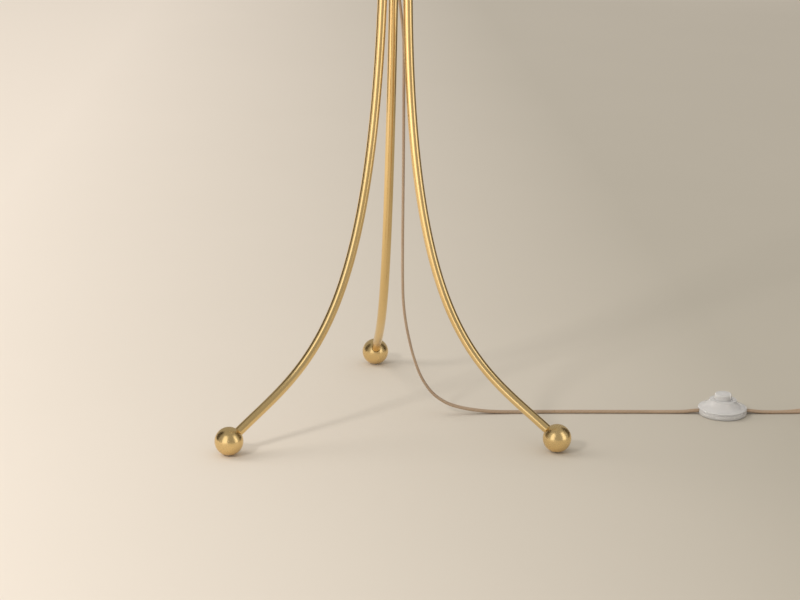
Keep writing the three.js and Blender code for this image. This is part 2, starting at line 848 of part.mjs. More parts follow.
const stemWire = cordAlong(
  [
    [0, 0, bushingMouth + 1],
    [0, 0, 900],
    [0, 0, coreFoot - seatGap],
  ],
  2,
);
place("stem_cord", stemWire, cordPlastic);
place("cord_drop", cordAlong(dropRoute, 52), cordPlastic);
place("cord_tail", cordAlong(tailRoute, 8), cordPlastic);
place("cord_end", cordAlong(endRoute, 4), cordPlastic);

// ---------- Coil, ties and plug ----------

const coilFoot = tieThickness + seatGap;
const coilInner = coilRadius - coilThickness / 2;
const coilOuter = coilRadius + coilThickness / 2;
const coil = new THREE.Group();
coil.position.set(coilX, coilY, 0);
lamp.add(coil);

function cordCoil() {
  const corner = 2;
  const outline = [
    ...arc(coilOuter - corner, coilFoot + corner, corner, -90, 0, 1),
    ...arc(coilOuter - corner, coilFoot + coilHeight - corner, corner, 0, 90, 1),
    ...arc(coilInner + corner, coilFoot + coilHeight - corner, corner, 90, 180, 1),
    ...arc(coilInner + corner, coilFoot + corner, corner, 180, 270, 1),
  ];
  return turnedRing(outline, 32);
}

// A tie is straight across its width, so it stands off the coil's curve by the sagitta as well.
const tieSlack = seatGap + tieWidth ** 2 / (8 * coilInner);
function coilTie(degrees) {
  const innerSize = [coilThickness + 2 * tieSlack, coilHeight + 2 * seatGap];
  const outerSize = innerSize.map((size) => size + 2 * tieThickness);
  const middle = coilFoot + coilHeight / 2;
  const loop = ([thickness, height], width) =>
    box(thickness, width, middle - height / 2, middle + height / 2);
  return cut(loop(outerSize, tieWidth), loop(innerSize, tieWidth + 2))
    .translate(coilRadius, 0, 0)
    .rotate([0, 0, degrees]);
}

place("cord_coil", cordCoil(), cordPlastic, coil);
for (const [side, degrees] of [["near", 225], ["far", 45]]) {
  place(`coil_tie_${side}`, coilTie(degrees), blackPlastic, coil);
}

const plug = new THREE.Group();
plug.position.set(coilX + coilRadius, plugY, 0);
lamp.add(plug);

function plugBody() {
  const half = plugWidth / 2;
  const neckHalf = cordWidth / 2 + 1.6;
  const front = -(plugNeckLength + plugLength);
  const outline = [
    [neckHalf, 0],
    [neckHalf + 0.4, -plugNeckLength * 0.6],
    [half - 2, -plugNeckLength],
    [half, -plugNeckLength - 4],
    [half - 1, front + 8],
    [half - 1, front + 1],
    [half - 2, front],
  ];
  const mirrored = outline.map(([x, y]) => [-x, y]).reverse();
  const flat = manifoldOf(
    new THREE.ExtrudeGeometry(outlineShape([...outline, ...mirrored]), {
      depth: plugHeight,
      bevelEnabled: false,
    }),
  );
  const neckTop = plugHeight / 2 + cordThickness / 2 + 1.4;
  const side = [
    [0, plugHeight - neckTop],
    [0, neckTop],
    [-plugNeckLength * 0.7, neckTop],
    [-plugNeckLength - 3, plugHeight],
    [front, plugHeight],
    [front, 0],
    [-plugNeckLength - 3, 0],
    [-plugNeckLength * 0.7, plugHeight - neckTop],
  ];
  const profile = new THREE.ExtrudeGeometry(outlineShape(side), {
    depth: plugWidth + 2,
    bevelEnabled: false,
  });
  profile.rotateX(Math.PI / 2).rotateZ(Math.PI / 2).translate(-half - 1, 0, 0);
  const upright = manifoldOf(profile);
  const bladeSlots = [-1, 1].map((sideways) => plugBlade(sideways, fitGap));
  return cut(flat.intersect(upright), ...bladeSlots);
}

function plugBlade(sideways, extra = 0) {
  const front = -(plugNeckLength + plugLength);
  const length = bladeRoot + bladeLength + 2 * extra;
  return box(
    bladeThickness + 2 * extra,
    length,
    plugHeight / 2 - bladeWidth / 2 - extra,
    plugHeight / 2 + bladeWidth / 2 + extra,
    (sideways * bladeSpacing) / 2,
    front + bladeRoot + extra - length / 2,
  );
}

place("plug_body", plugBody(), cordPlastic, plug);
place("plug_blade_left", plugBlade(-1), rawBrass, plug);
place("plug_blade_right", plugBlade(1), rawBrass, plug);

// ---------- Foot switch ----------

const footSwitch = new THREE.Group();
footSwitch.position.set(switchX, switchY, 0);
lamp.add(footSwitch);

const cordSlotWidth = cordWidth + 2 * fitGap + 0.6;
const cordSlotTop = switchCordZ + cordThickness / 2 + fitGap;
const innerRadius = switchRadius - 2;
const frameFoot = cordSlotTop + 0.3;
const frameTop = frameFoot + 1.4;
const frameRadius = switchScrewOffset - 4;
const flangeRadius = buttonRadius + buttonFlange;
const coverPlateFoot = switchCoverTop - switchWall;
const flangeTop = coverPlateFoot - 0.6;
const flangeFoot = flangeTop - 1.4;
const washerThickness = 0.9;
const bridgeTop = flangeFoot - seatGap;
const bridgeFoot = bridgeTop - washerThickness;
const contactTop = bridgeFoot - buttonTravel - seatGap;
const guideInner = 4.6;
const guideOuter = 6;
const guideFoot = frameTop + buttonTravel + 0.6;

const screwSides = [-switchScrewOffset, switchScrewOffset];

function switchBase() {
  const tray = turned(
    [
      [0, 0],
      [switchRadius - 1, 0],
      [switchRadius, 1],
      [switchRadius, switchRimHeight],
      [innerRadius, switchRimHeight],
      [innerRadius, switchFloor],
      [0, switchFloor],
    ],
    fineSides,
  );
  const ribTop = frameFoot - seatGap;
  const rib = sleeve(frameRadius - 1, frameRadius - 2.6, switchFloor - 0.5, ribTop, fineSides);
  const bosses = screwSides.map((y) => disc(3.8, switchFloor - 0.5, 4, 16).translate(0, y, 0));
  const screwHoles = screwSides.flatMap((y) => [
    disc(1.7, -1, 5, smallSides).translate(0, y, 0),
    disc(3.2, -1, 2, 16).translate(0, y, 0),
  ]);
  const cordSlot = box(2 * switchRadius + 4, cordSlotWidth, switchFloor, switchRimHeight + 1);
  return cut(join(tray, rib, ...bosses), ...screwHoles, cordSlot);
}

function switchCover() {
  const edge = switchRadius - 0.2;
  const low = switchRimHeight + seatGap;
  const slope = flangeRadius + coverLedge - edge;
  const outline = (inset, drop) => [
    [edge - inset, low],
    [edge - inset, low + 1.6 - drop],
    [edge + 0.12 * slope - inset, low + 2.6 - drop],
    [edge + 0.44 * slope - inset, low + 4.6 - drop],
    [edge + 0.7 * slope - inset, switchCoverTop - 4 - drop],
    [edge + 0.85 * slope - inset, switchCoverTop - 1.2 - drop],
    [edge + slope - inset, switchCoverTop - drop],
  ];
  const hole = buttonRadius + runningGap;
  const shell = turnedRing(
    [
      ...outline(0, 0),
      [hole, switchCoverTop],
      [hole, coverPlateFoot],
      ...outline(switchWall + 0.3, switchWall).reverse(),
    ],
    fineSides,
  );
  const posts = screwSides.map((y) => disc(3, 4 + seatGap, low + 5, 16).translate(0, y, 0));
  const pilots = screwSides.map((y) => disc(1.4, 3, low + 3.4, smallSides).translate(0, y, 0));
  return cut(join(shell, ...posts), ...pilots);
}

function switchFrame() {
  const plate = disc(frameRadius, frameFoot, frameTop, fineSides);
  const peg = disc(2.2, frameTop - 0.5, frameTop + 4, smallSides);
  return join(plate, peg);
}

function switchButton() {
  const shoulder = 1.6;
  const hollowTop = buttonTop - 2.4;
  return turned(
    [
      [0, buttonTop],
      [buttonRadius - 4, buttonTop - 0.2],
      ...arc(buttonRadius - shoulder, buttonTop - 0.7 - shoulder, shoulder, 80, 0, 3),
      [buttonRadius, flangeTop],
      [flangeRadius, flangeTop],
      [flangeRadius, flangeFoot],
      [buttonRadius - 1.6, flangeFoot],
      [buttonRadius - 1.6, hollowTop],
      [guideOuter, hollowTop],
      [guideOuter, guideFoot],
      [guideInner, guideFoot],
      [guideInner, hollowTop],
      [0, hollowTop],
    ],
    fineSides,
  );
}

const springFoot = frameTop + seatGap;
const springTop = buttonTop - 2.4 - seatGap;
function switchSpring() {
  const springRadius = 3.4;
  const springWire = 0.45;
  const turns = 5;
  const low = springFoot + springWire;
  const high = springTop - springWire;
  const helix = Array.from({ length: turns * 8 + 1 }, (_, i) => {
    const angle = (2 * Math.PI * i) / 8;
    return at(
      springRadius * Math.cos(angle),
      springRadius * Math.sin(angle),
      low + ((high - low) * i) / (turns * 8),
    );
  });
  return swept(roundSection(springWire, 5), new THREE.CatmullRomCurve3(helix), turns * 9);
}

const switchContact = (x) => box(5, 9, frameTop + seatGap, contactTop, x, 0);
const contactWasher = () =>
  sleeve(flangeRadius - 0.4, guideOuter + runningGap + 0.1, bridgeFoot, bridgeTop);

function switchScrew(y) {
  const head = disc(2.8, 0.4, 2 - seatGap, 16);
  const shank = disc(1.1, 1, switchRimHeight + seatGap + 2.8, smallSides);
  return join(head, shank).translate(0, y, 0);
}

place("switch_base", switchBase(), clearPlastic, footSwitch);
place("switch_cover", switchCover(), clearPlastic, footSwitch);
place("switch_frame", switchFrame(), whitePlastic, footSwitch);
place("switch_button", switchButton(), clearPlastic, footSwitch);
place("switch_contact_washer", contactWasher(), rawBrass, footSwitch);
place("switch_contact_left", switchContact(-9), rawBrass, footSwitch);
place("switch_contact_right", switchContact(9), rawBrass, footSwitch);
place("switch_spring", switchSpring(), steel, footSwitch);
place("switch_screw_front", switchScrew(screwSides[0]), steel, footSwitch);
place("switch_screw_back", switchScrew(screwSides[1]), steel, footSwitch);

export default floorLamp;
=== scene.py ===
"""Tripod floor lamp: its looks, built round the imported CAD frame. Metres, +Z up, floor at z = 0."""

import json
import math

import bmesh
import bpy
from mathutils import Matrix, Vector


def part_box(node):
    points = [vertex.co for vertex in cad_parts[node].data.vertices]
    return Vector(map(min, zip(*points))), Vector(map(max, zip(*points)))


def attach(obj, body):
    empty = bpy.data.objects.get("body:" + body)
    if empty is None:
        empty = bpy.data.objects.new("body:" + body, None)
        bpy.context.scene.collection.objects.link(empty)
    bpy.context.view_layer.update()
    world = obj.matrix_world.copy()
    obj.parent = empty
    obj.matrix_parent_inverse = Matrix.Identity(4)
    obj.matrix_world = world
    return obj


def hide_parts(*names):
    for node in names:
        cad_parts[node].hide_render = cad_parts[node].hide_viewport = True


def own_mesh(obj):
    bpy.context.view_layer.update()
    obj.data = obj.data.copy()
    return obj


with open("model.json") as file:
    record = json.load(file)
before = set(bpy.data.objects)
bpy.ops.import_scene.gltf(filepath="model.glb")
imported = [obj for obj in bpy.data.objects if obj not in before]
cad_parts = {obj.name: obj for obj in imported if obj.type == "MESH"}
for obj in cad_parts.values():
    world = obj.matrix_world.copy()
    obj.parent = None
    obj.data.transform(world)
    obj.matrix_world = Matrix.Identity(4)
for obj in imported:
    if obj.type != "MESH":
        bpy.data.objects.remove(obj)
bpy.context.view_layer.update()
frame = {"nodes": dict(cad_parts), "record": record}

MM = 0.001
TURN = 2 * math.pi
UP = Vector((0, 0, 1))
ORIGIN = Vector((0, 0, 0))
NO_LENGTH = 1e-6  # anything shorter counts as nothing


def middle(node):
    """The middle of a CAD node's box."""
    low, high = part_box(node)
    return (low + high) / 2


def foot(node):
    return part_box(node)[0].z


def top(node):
    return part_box(node)[1].z


def tallness(node):
    """The height of a CAD node's box, in mm."""
    return (top(node) - foot(node)) / MM


AXIS = Vector((middle("hub_body").x, middle("hub_body").y, 0))  # the lamp's own axis, at the floor


# ---------- Camera ----------

CAMERA_DISTANCE = 2.7564
CAMERA_ELEVATION = 16.706
CAMERA_AZIMUTH = -4.674
CAMERA_ROLL = 1.114
CAMERA_LENS = 99  # mm, on a 36 mm sensor
TARGET_HEIGHT = 0.16103
TARGET_SIDE = 0.01354  # how far the aim lies to the right of the lamp's axis


def make_camera():
    azimuth = math.radians(CAMERA_AZIMUTH)
    elevation = math.radians(CAMERA_ELEVATION)
    flat = math.cos(elevation)
    back = Vector((math.sin(azimuth) * flat, -math.cos(azimuth) * flat, math.sin(elevation)))
    right = (-back).cross(UP).normalized()
    target = AXIS + UP * TARGET_HEIGHT + right * TARGET_SIDE
    level = Matrix((right, back.cross(right), back)).transposed()
    turned = level @ Matrix.Rotation(math.radians(CAMERA_ROLL), 3, "Z")
    data = bpy.data.cameras.new("camera")
    data.lens = CAMERA_LENS
    data.sensor_width = 36
    camera = bpy.data.objects.new("camera", data)
    bpy.context.scene.collection.objects.link(camera)
    camera.matrix_world = Matrix.Translation(target + back * CAMERA_DISTANCE) @ turned.to_4x4()
    bpy.context.scene.camera = camera


make_camera()


# ---------- Mesh helpers ----------

ROUND_END = 0.3 * MM  # how far a rounded end stands out
PATH_STEP = 0.004  # metres between the points of a smooth path


def rounded(outline, radius, steps=3):
    """An outline of (x, y) points with each corner off the axis rounded."""
    made = [outline[0]]
    for before, corner, after in zip(outline, outline[1:], outline[2:]):
        a, p, b = Vector(before), Vector(corner), Vector(after)
        reach = min(radius, 0.45 * (a - p).length, 0.45 * (b - p).length)
        if reach < NO_LENGTH or p.x < NO_LENGTH:
            made.append(corner)
            continue
        start = p + (a - p).normalized() * reach
        end = p + (b - p).normalized() * reach
        for i in range(steps + 1):
            t = i / steps
            made.append(tuple(start * (1 - t) ** 2 + p * (2 * t * (1 - t)) + end * t * t))
    return made + [outline[-1]]


def arc(x, y, radius, start, end, steps):
    """Outline points on an arc, angles in degrees."""
    angles = [math.radians(start + (end - start) * i / steps) for i in range(steps + 1)]
    return [(x + radius * math.cos(a), y + radius * math.sin(a)) for a in angles]


def new_object(name, mesh):
    piece = bpy.data.objects.new(name, mesh)
    bpy.context.scene.collection.objects.link(piece)
    return piece


def shade_smooth(mesh, sharp):
    """Shades a mesh smooth, except across edges sharper than that angle."""
    mesh.polygons.foreach_set("use_smooth", [True] * len(mesh.polygons))
    mesh.set_sharp_from_angle(angle=math.radians(sharp))


def tidy_mesh(mesh, sharp=40):
    work = bmesh.new()
    work.from_mesh(mesh)
    bmesh.ops.recalc_face_normals(work, faces=work.faces)
    work.to_mesh(mesh)
    work.free()
    shade_smooth(mesh, sharp)


def skin(name, rings, closed=False, sharp=40):
    """A closed surface over rings of points. A ring of one point is a pole, and an open end is capped.
    The UV map is in metres: along a ring, and from ring to ring."""
    points = [tuple(p) for ring in rings for p in ring]
    starts = [0]
    heights = [0.0]
    for ring, after in zip(rings, rings[1:]):
        starts.append(starts[-1] + len(ring))
        heights.append(heights[-1] + (Vector(after[0]) - Vector(ring[0])).length)
    sides = max(len(ring) for ring in rings)
    widest = max((Vector(r[0]) - Vector(r[len(r) // 2])).length for r in rings)
    width = math.pi * max(widest, 0.1 * MM)
    faces, corners = [], []
    pairs = [(k, k + 1) for k in range(len(rings) - 1)]
    if closed:
        pairs.append((len(rings) - 1, 0))
    for a, b in pairs:
        low, high = heights[a], heights[b] if b else heights[a] + MM
        for i in range(sides):
            j = (i + 1) % sides
            left, right = width * i / sides, width * (i + 1) / sides
            face, uv = [], []
            for k, height, steps in ((a, low, ((i, left), (j, right))), (b, high, ((j, right), (i, left)))):
                if len(rings[k]) > 1:
                    face += [starts[k] + step for step, _ in steps]
                    uv += [(across, height) for _, across in steps]
                else:
                    face.append(starts[k])
                    uv.append((left, height))
            faces.append(face)
            corners += uv
    for k in () if closed else (0, len(rings) - 1):
        if len(rings[k]) > 1:
            faces.append([starts[k] + i for i in range(sides)])
            corners += [(p[0], p[1]) for p in rings[k]]
    mesh = bpy.data.meshes.new(name)
    mesh.from_pydata(points, [], faces)
    layer = mesh.uv_layers.new(name="UVMap")
    layer.data.foreach_set("uv", [value for corner in corners for value in corner])
    tidy_mesh(mesh, sharp)
    return new_object(name, mesh)


def lathe(name, outline, low=0.0, centre=AXIS, closed=False, sides=64, fillet=0.35, wave=None):
    """A turned piece about +Z. The outline is (radius, height) in mm above low; wave(angle, height)
    adds to the radius, in mm, as a thread or ribs do."""
    points = rounded(outline + [outline[0]] if closed else outline, fillet)
    if closed:
        points = points[:-1]
    rings = []
    for radius, height in points:
        z = low + height * MM
        if radius < NO_LENGTH:
            rings.append([Vector((centre.x, centre.y, z))])
            continue
        ring = []
        for angle in (TURN * i / sides for i in range(sides)):
            reach = (radius + (wave(angle, height) if wave else 0)) * MM
            ring.append(Vector((centre.x + reach * math.cos(angle), centre.y + reach * math.sin(angle), z)))
        rings.append(ring)
    return skin(name, rings, closed)


def turned_ring(name, outline, **options):
    return lathe(name, outline, closed=True, **options)


def thread(depth, pitch, start=-math.inf, end=math.inf):
    """A wave for lathe() that cuts a screw thread between two heights."""
    def wave(angle, height):
        return depth * math.cos(TURN * height / pitch - angle) if start < height < end else 0
    return wave


def smooth_path(points):
    """Points along the centripetal Catmull-Rom curve through the given ones."""
    p = [Vector(q) for q in points]
    p = [p[0] * 2 - p[1]] + p + [p[-1] * 2 - p[-2]]
    made = [p[1]]
    for a, b, c, d in zip(p, p[1:], p[2:], p[3:]):
        t0, t1, t2 = ((y - x).length ** 0.5 for x, y in ((a, b), (b, c), (c, d)))
        v1 = ((b - a) / t0 - (c - a) / (t0 + t1) + (c - b) / t1) * t1
        v2 = ((c - b) / t1 - (d - b) / (t1 + t2) + (d - c) / t2) * t1
        count = max(1, round((c - b).length / PATH_STEP))
        for i in range(1, count + 1):
            t = i / count
            rise = (c * 3 - b * 3 - v1 * 2 - v2) * t * t
            made.append(b + v1 * t + rise + (b * 2 - c * 2 + v1 + v2) * t * t * t)
    return made


def circle(radius, sides):
    turns = [TURN * i / sides for i in range(sides)]
    return [(radius * math.cos(a), radius * math.sin(a)) for a in turns]


def tangents_of(points):
    ends = zip([points[0], *points[:-1]], [*points[1:], points[-1]])
    return [(b - a).normalized() for a, b in ends]


def sweep(name, points, section, wide=None, bore=None, closed=False, round_ends=0.0):
    """A section of (across, over) offsets, in metres, swept along points. wide is the direction of "across",
    or a list of them; without it the section follows the bends without twisting. bore = (radius, depth)
    drills the first end, and round_ends is the share by which a rounded end narrows."""
    tangents = tangents_of(points)
    if closed:
        tangents[0] = tangents[-1] = (points[1] - points[-2]).normalized()
    side = tangents[0].orthogonal().normalized()
    narrow = [(a * (1 - round_ends), b * (1 - round_ends)) for a, b in section]
    rings = []
    for i, tangent in enumerate(tangents):
        across = side
        if wide is not None:
            across = wide[i] if isinstance(wide, list) else wide
        across = (across - tangent * across.dot(tangent)).normalized()
        side = across
        over = tangent.cross(across)
        shapes = [(section, 0)]
        if bore and i == 0:
            drilled = circle(bore[0], len(section))
            shapes = [([(0, 0)], bore[1]), (drilled, bore[1]), (drilled, 0), *shapes]
        if round_ends and i == 0:
            shapes.insert(0, (narrow, -ROUND_END))
        if round_ends and i == len(points) - 1:
            shapes.append((narrow, ROUND_END))
        for shape, shift in shapes:
            rings.append([points[i] + tangent * shift + across * a + over * b for a, b in shape])
    return skin(name, rings[:-1] if closed else rings, closed)


def bezier(a, b, c, d, count):
    made = []
    for t in (i / count for i in range(count + 1)):
        s = 1 - t
        made.append(a * s**3 + b * (3 * s * s * t) + c * (3 * s * t * t) + d * t**3)
    return made


def slab(name, outline, low, high, bevel=0.4 * MM):
    """A flat outline of (x, y) points between two heights, its edges beveled."""
    work = bmesh.new()
    bottom = [work.verts.new((x, y, low)) for x, y in outline]
    face = work.faces.new(bottom)
    grown = bmesh.ops.extrude_face_region(work, geom=[face])
    raised = [v for v in grown["geom"] if isinstance(v, bmesh.types.BMVert)]
    bmesh.ops.translate(work, verts=raised, vec=(0, 0, high - low))
    rims = [e for e in work.edges if abs(e.verts[0].co.z - e.verts[1].co.z) < 1e-9]
    bmesh.ops.bevel(
        work, geom=rims, offset=bevel, segments=3, profile=0.5, affect="EDGES", clamp_overlap=True
    )
    mesh = bpy.data.meshes.new(name)
    work.to_mesh(mesh)
    work.free()
    tidy_mesh(mesh)
    return new_object(name, mesh)


def apply_modifiers(piece):
    evaluated = piece.evaluated_get(bpy.context.evaluated_depsgraph_get())
    mesh = bpy.data.meshes.new_from_object(evaluated)
    piece.modifiers.clear()
    piece.data = mesh
    return piece


def stand_along(piece, direction, place):
    """Turns a piece that was made upright at the origin to a direction, and moves it to its place."""
    piece.data.transform(UP.rotation_difference(direction).to_matrix().to_4x4())
    piece.data.transform(Matrix.Translation(place))


def cut(piece, *tools, operation="DIFFERENCE"):
    """Cuts the tools out of a piece, or joins them to it, and removes them."""
    for tool in tools:
        modifier = piece.modifiers.new("cut", "BOOLEAN")
        modifier.object = tool
        modifier.operation = operation
        modifier.solver = "EXACT"
    bpy.context.view_layer.update()
    apply_modifiers(piece)
    for tool in tools:
        bpy.data.objects.remove(tool)
    shade_smooth(piece.data, 35)
    return piece


def join(piece, *others):
    return cut(piece, *others, operation="UNION")


def gather(piece, *others):
    """One mesh of several separate closed shells."""
    work = bmesh.new()
    for part in (piece, *others):
        work.from_mesh(part.data)
    work.to_mesh(piece.data)
    work.free()
    for part in others:
        bpy.data.objects.remove(part)
    shade_smooth(piece.data, 40)
    return piece


def prism(outline, low, high, centre):
    """A plain upright solid, in metres, to cut or join with."""
    return skin("tool", [[Vector((centre.x + a, centre.y + b, z)) for a, b in outline] for z in (low, high)])


def disc(radius, low, high, centre=AXIS):
    return prism(circle(radius, 48), low, high, centre)


def block(width, depth, low, high, centre):
    x, y = width / 2, depth / 2
    return prism([(-x, -y), (x, -y), (x, y), (-x, y)], low, high, centre)


def rod(radius, start, end):
    return sweep("tool", [start, end], circle(radius, 32))


# ---------- Materials ----------

class Finish:
    """A Principled material with helpers for its noise, colour variation and bump."""

    def __init__(self, name, color, **sockets):
        self.material = bpy.data.materials.new(name)
        self.material.use_nodes = True
        self.tree = self.material.node_tree
        self.shader = self.tree.nodes["Principled BSDF"]
        self.set("Base Color", (*color, 1))
        for socket, value in sockets.items():
            self.set(socket.replace("_", " ").title().replace("Ior", "IOR"), value)

    def set(self, socket, value):
        self.shader.inputs[socket].default_value = value

    def node(self, kind, **values):
        made = self.tree.nodes.new(kind)
        for name, value in values.items():
            setattr(made, name, value)
        return made

    def link(self, source, target):
        self.tree.links.new(source, target)

    def place(self, scale=(1, 1, 1), uv=False):
        """Texture coordinates, stretched by a scale for each direction."""
        source = self.node("ShaderNodeTexCoord").outputs["UV" if uv else "Object"]
        mapping = self.node("ShaderNodeMapping")
        mapping.inputs["Scale"].default_value = scale
        self.link(source, mapping.inputs["Vector"])
        return mapping.outputs["Vector"]

    def noise(self, scale, detail=4, stretch=(1, 1, 1), uv=False, rough=0.55):
        texture = self.node("ShaderNodeTexNoise")
        texture.inputs["Scale"].default_value = scale
        texture.inputs["Detail"].default_value = detail
        texture.inputs["Roughness"].default_value = rough
        self.link(self.place(stretch, uv), texture.inputs["Vector"])
        return texture.outputs["Fac"]

    def spread(self, value, low, high, start=0.3, end=0.7):
        """A value from the range start..end mapped onto low..high."""
        ranged = self.node("ShaderNodeMapRange")
        self.link(value, ranged.inputs["Value"])
        for socket, number in (("From Min", start), ("From Max", end), ("To Min", low), ("To Max", high)):
            ranged.inputs[socket].default_value = number
        return ranged.outputs["Result"]

    def colors(self, value, stops):
        """Base colour from a ramp of (place, colour) stops."""
        ramp = self.node("ShaderNodeValToRGB")
        self.link(value, ramp.inputs["Fac"])
        while len(ramp.color_ramp.elements) < len(stops):
            ramp.color_ramp.elements.new(0.5)
        for element, (place, color) in zip(ramp.color_ramp.elements, stops):
            element.position = place
            element.color = (*color, 1)
        self.link(ramp.outputs["Color"], self.shader.inputs["Base Color"])

    def roughness(self, value, low, high, start=0.3, end=0.7):
        self.link(self.spread(value, low, high, start, end), self.shader.inputs["Roughness"])

    def bump(self, height, strength, distance):
        made = self.node("ShaderNodeBump")
        made.inputs["Strength"].default_value = strength
        made.inputs["Distance"].default_value = distance
        self.link(height, made.inputs["Height"])
        self.link(made.outputs["Normal"], self.shader.inputs["Normal"])

    def sum(self, a, b, operation="ADD"):
        made = self.node("ShaderNodeMath", operation=operation)
        for socket, value in zip(made.inputs, (a, b)):
            if isinstance(value, (int, float)):
                socket.default_value = value
            else:
                self.link(value, socket)
        return made.outputs["Value"]


def metal(name, light, dark, rough, grain, grain_depth=0.00002):
    """A metal with soft patches of colour, and fine marks in its roughness and its surface.
    grain stretches the marks along the UV map, so that they run along a rod or round a turned piece."""
    finish = Finish(name, light, metallic=1.0, roughness=rough)
    finish.colors(finish.noise(9.0, 5), [(0.3, dark), (0.7, light)])
    marks = finish.noise(1.0, 6, grain, uv=True, rough=0.7)
    smudge = finish.noise(24, 3)
    finish.roughness(finish.sum(marks, smudge), rough * 0.85, rough * 1.2, 0.7, 1.3)
    finish.bump(marks, 0.15, grain_depth)
    return finish.material


BRASS_LIGHT = (0.86, 0.64, 0.315)
BRASS_DARK = (0.80, 0.58, 0.265)
ALONG = (2600, 45, 1)
ROUND = (45, 2600, 1)
EVEN = (420, 420, 1)

rod_brass = metal("rod_brass", BRASS_LIGHT, BRASS_DARK, 0.19, ALONG)
turned_brass = metal("turned_brass", BRASS_LIGHT, BRASS_DARK, 0.17, ROUND)
ball_brass = metal("ball_brass", BRASS_LIGHT, BRASS_DARK, 0.26, EVEN, 0.000004)
drawn_brass = metal("drawn_brass", BRASS_LIGHT, BRASS_DARK, 0.22, EVEN, 0.000004)
raw_brass = metal("raw_brass", (0.70, 0.51, 0.24), (0.58, 0.41, 0.18), 0.36, EVEN)
steel = metal("steel", (0.60, 0.61, 0.63), (0.50, 0.51, 0.53), 0.30, ROUND)


def moulded(name, color, dark, rough, texture=900.0, depth=0.00003, **sockets):
    """A moulded plastic with a fine grain and slight unevenness of colour and gloss."""
    finish = Finish(name, color, roughness=rough, **sockets)
    finish.colors(finish.noise(40, 4), [(0.3, dark), (0.7, color)])
    finish.roughness(finish.noise(130, 4), rough * 0.8, rough * 1.25)
    finish.bump(finish.noise(texture, 3), 0.3, depth)
    return finish.material


white_plastic = moulded("white_plastic", (0.80, 0.78, 0.74), (0.76, 0.74, 0.69), 0.45)
black_plastic = moulded("black_plastic", (0.022, 0.020, 0.019), (0.014, 0.013, 0.012), 0.42)
liner_board = moulded("liner_board", (0.52, 0.38, 0.22), (0.42, 0.30, 0.17), 0.85, 500.0, 0.0001)


def make_clear_plastic():
    """Slightly cloudy clear plastic, with the faint flow marks of its moulding."""
    finish = Finish("clear_plastic", (0.93, 0.925, 0.93), roughness=0.16, ior=1.45, transmission_weight=0.42)
    finish.set("Subsurface Weight", 0.5)
    finish.set("Subsurface Radius", (0.004, 0.004, 0.004))
    finish.set("Subsurface Scale", 1.0)
    finish.colors(finish.noise(60, 5), [(0.3, (0.95, 0.94, 0.955)), (0.7, (0.985, 0.98, 0.985))])
    finish.roughness(finish.noise(150, 4), 0.07, 0.18)
    finish.bump(finish.noise(260, 3), 0.25, 0.00008)
    return finish.material


VINYL_DARK = (0.36, 0.25, 0.165)
VINYL_LIGHT = (0.47, 0.345, 0.235)
VINYL_DEPTH = (0.002, 0.0012, 0.0008)  # how far red, green and blue light go in


def make_cord_vinyl():
    """Translucent brown-gold vinyl over two stranded conductors, which show as a fine slanting lay."""
    finish = Finish("cord_vinyl", (0.40, 0.27, 0.17), roughness=0.34, ior=1.5)
    finish.set("Coat Weight", 0.35)
    finish.set("Coat Roughness", 0.18)
    finish.set("Subsurface Weight", 0.15)
    finish.set("Subsurface Radius", VINYL_DEPTH)
    finish.set("Subsurface Scale", 1.0)
    lay = finish.node("ShaderNodeTexWave", wave_type="BANDS", bands_direction="DIAGONAL")
    lay.inputs["Scale"].default_value = 190
    lay.inputs["Distortion"].default_value = 1.2
    finish.link(finish.place((1, 0.6, 1), uv=True), lay.inputs["Vector"])
    cloud = finish.noise(16, 4)
    mixed = finish.sum(finish.sum(lay.outputs["Fac"], 0.12, "MULTIPLY"), cloud)
    finish.colors(mixed, [(0.3, VINYL_DARK), (0.8, VINYL_LIGHT)])
    finish.roughness(finish.noise(90, 3), 0.26, 0.46)
    finish.bump(finish.noise(1, 5, (500, 60, 1), uv=True), 0.3, 0.00006)
    return finish.material


def make_bulb_glass():
    """Frosted glass: white inside, smooth outside."""
    finish = Finish("bulb_glass", (0.93, 0.92, 0.90), roughness=0.35, ior=1.5, transmission_weight=0.3)
    finish.set("Coat Weight", 0.6)
    finish.set("Coat Roughness", 0.04)
    finish.colors(finish.noise(30, 4), [(0.3, (0.93, 0.925, 0.905)), (0.7, (0.97, 0.965, 0.95))])
    finish.roughness(finish.noise(300, 3), 0.3, 0.42)
    finish.bump(finish.noise(14, 2), 0.05, 0.0002)
    return finish.material


def make_linen():
    """A plain linen weave: warp and weft threads of uneven width, with slubs."""
    finish = Finish("linen", (0.80, 0.745, 0.65), roughness=0.92, sheen_weight=0.25, sheen_roughness=0.5)
    threads = []
    for direction in ("X", "Y"):
        wave = finish.node("ShaderNodeTexWave", wave_type="BANDS", bands_direction=direction)
        wave.inputs["Scale"].default_value = 310
        wave.inputs["Distortion"].default_value = 0.9
        wave.inputs["Detail"].default_value = 2
        wave.inputs["Detail Scale"].default_value = 0.35
        finish.link(finish.place(uv=True), wave.inputs["Vector"])
        threads.append(wave.outputs["Fac"])
    weave = finish.sum(*threads)
    slubs_up = finish.noise(1, 4, (520, 22, 1), uv=True)
    slubs_over = finish.noise(1, 4, (22, 520, 1), uv=True)
    slubs = finish.sum(slubs_up, slubs_over)
    mixed = finish.sum(finish.sum(weave, 0.35, "MULTIPLY"), slubs)
    shade = finish.sum(mixed, 0.62, "MULTIPLY")
    finish.colors(shade, [(0.15, (0.62, 0.55, 0.45)), (0.9, (0.84, 0.79, 0.70))])
    finish.bump(mixed, 0.55, 0.0005)
    return finish.material


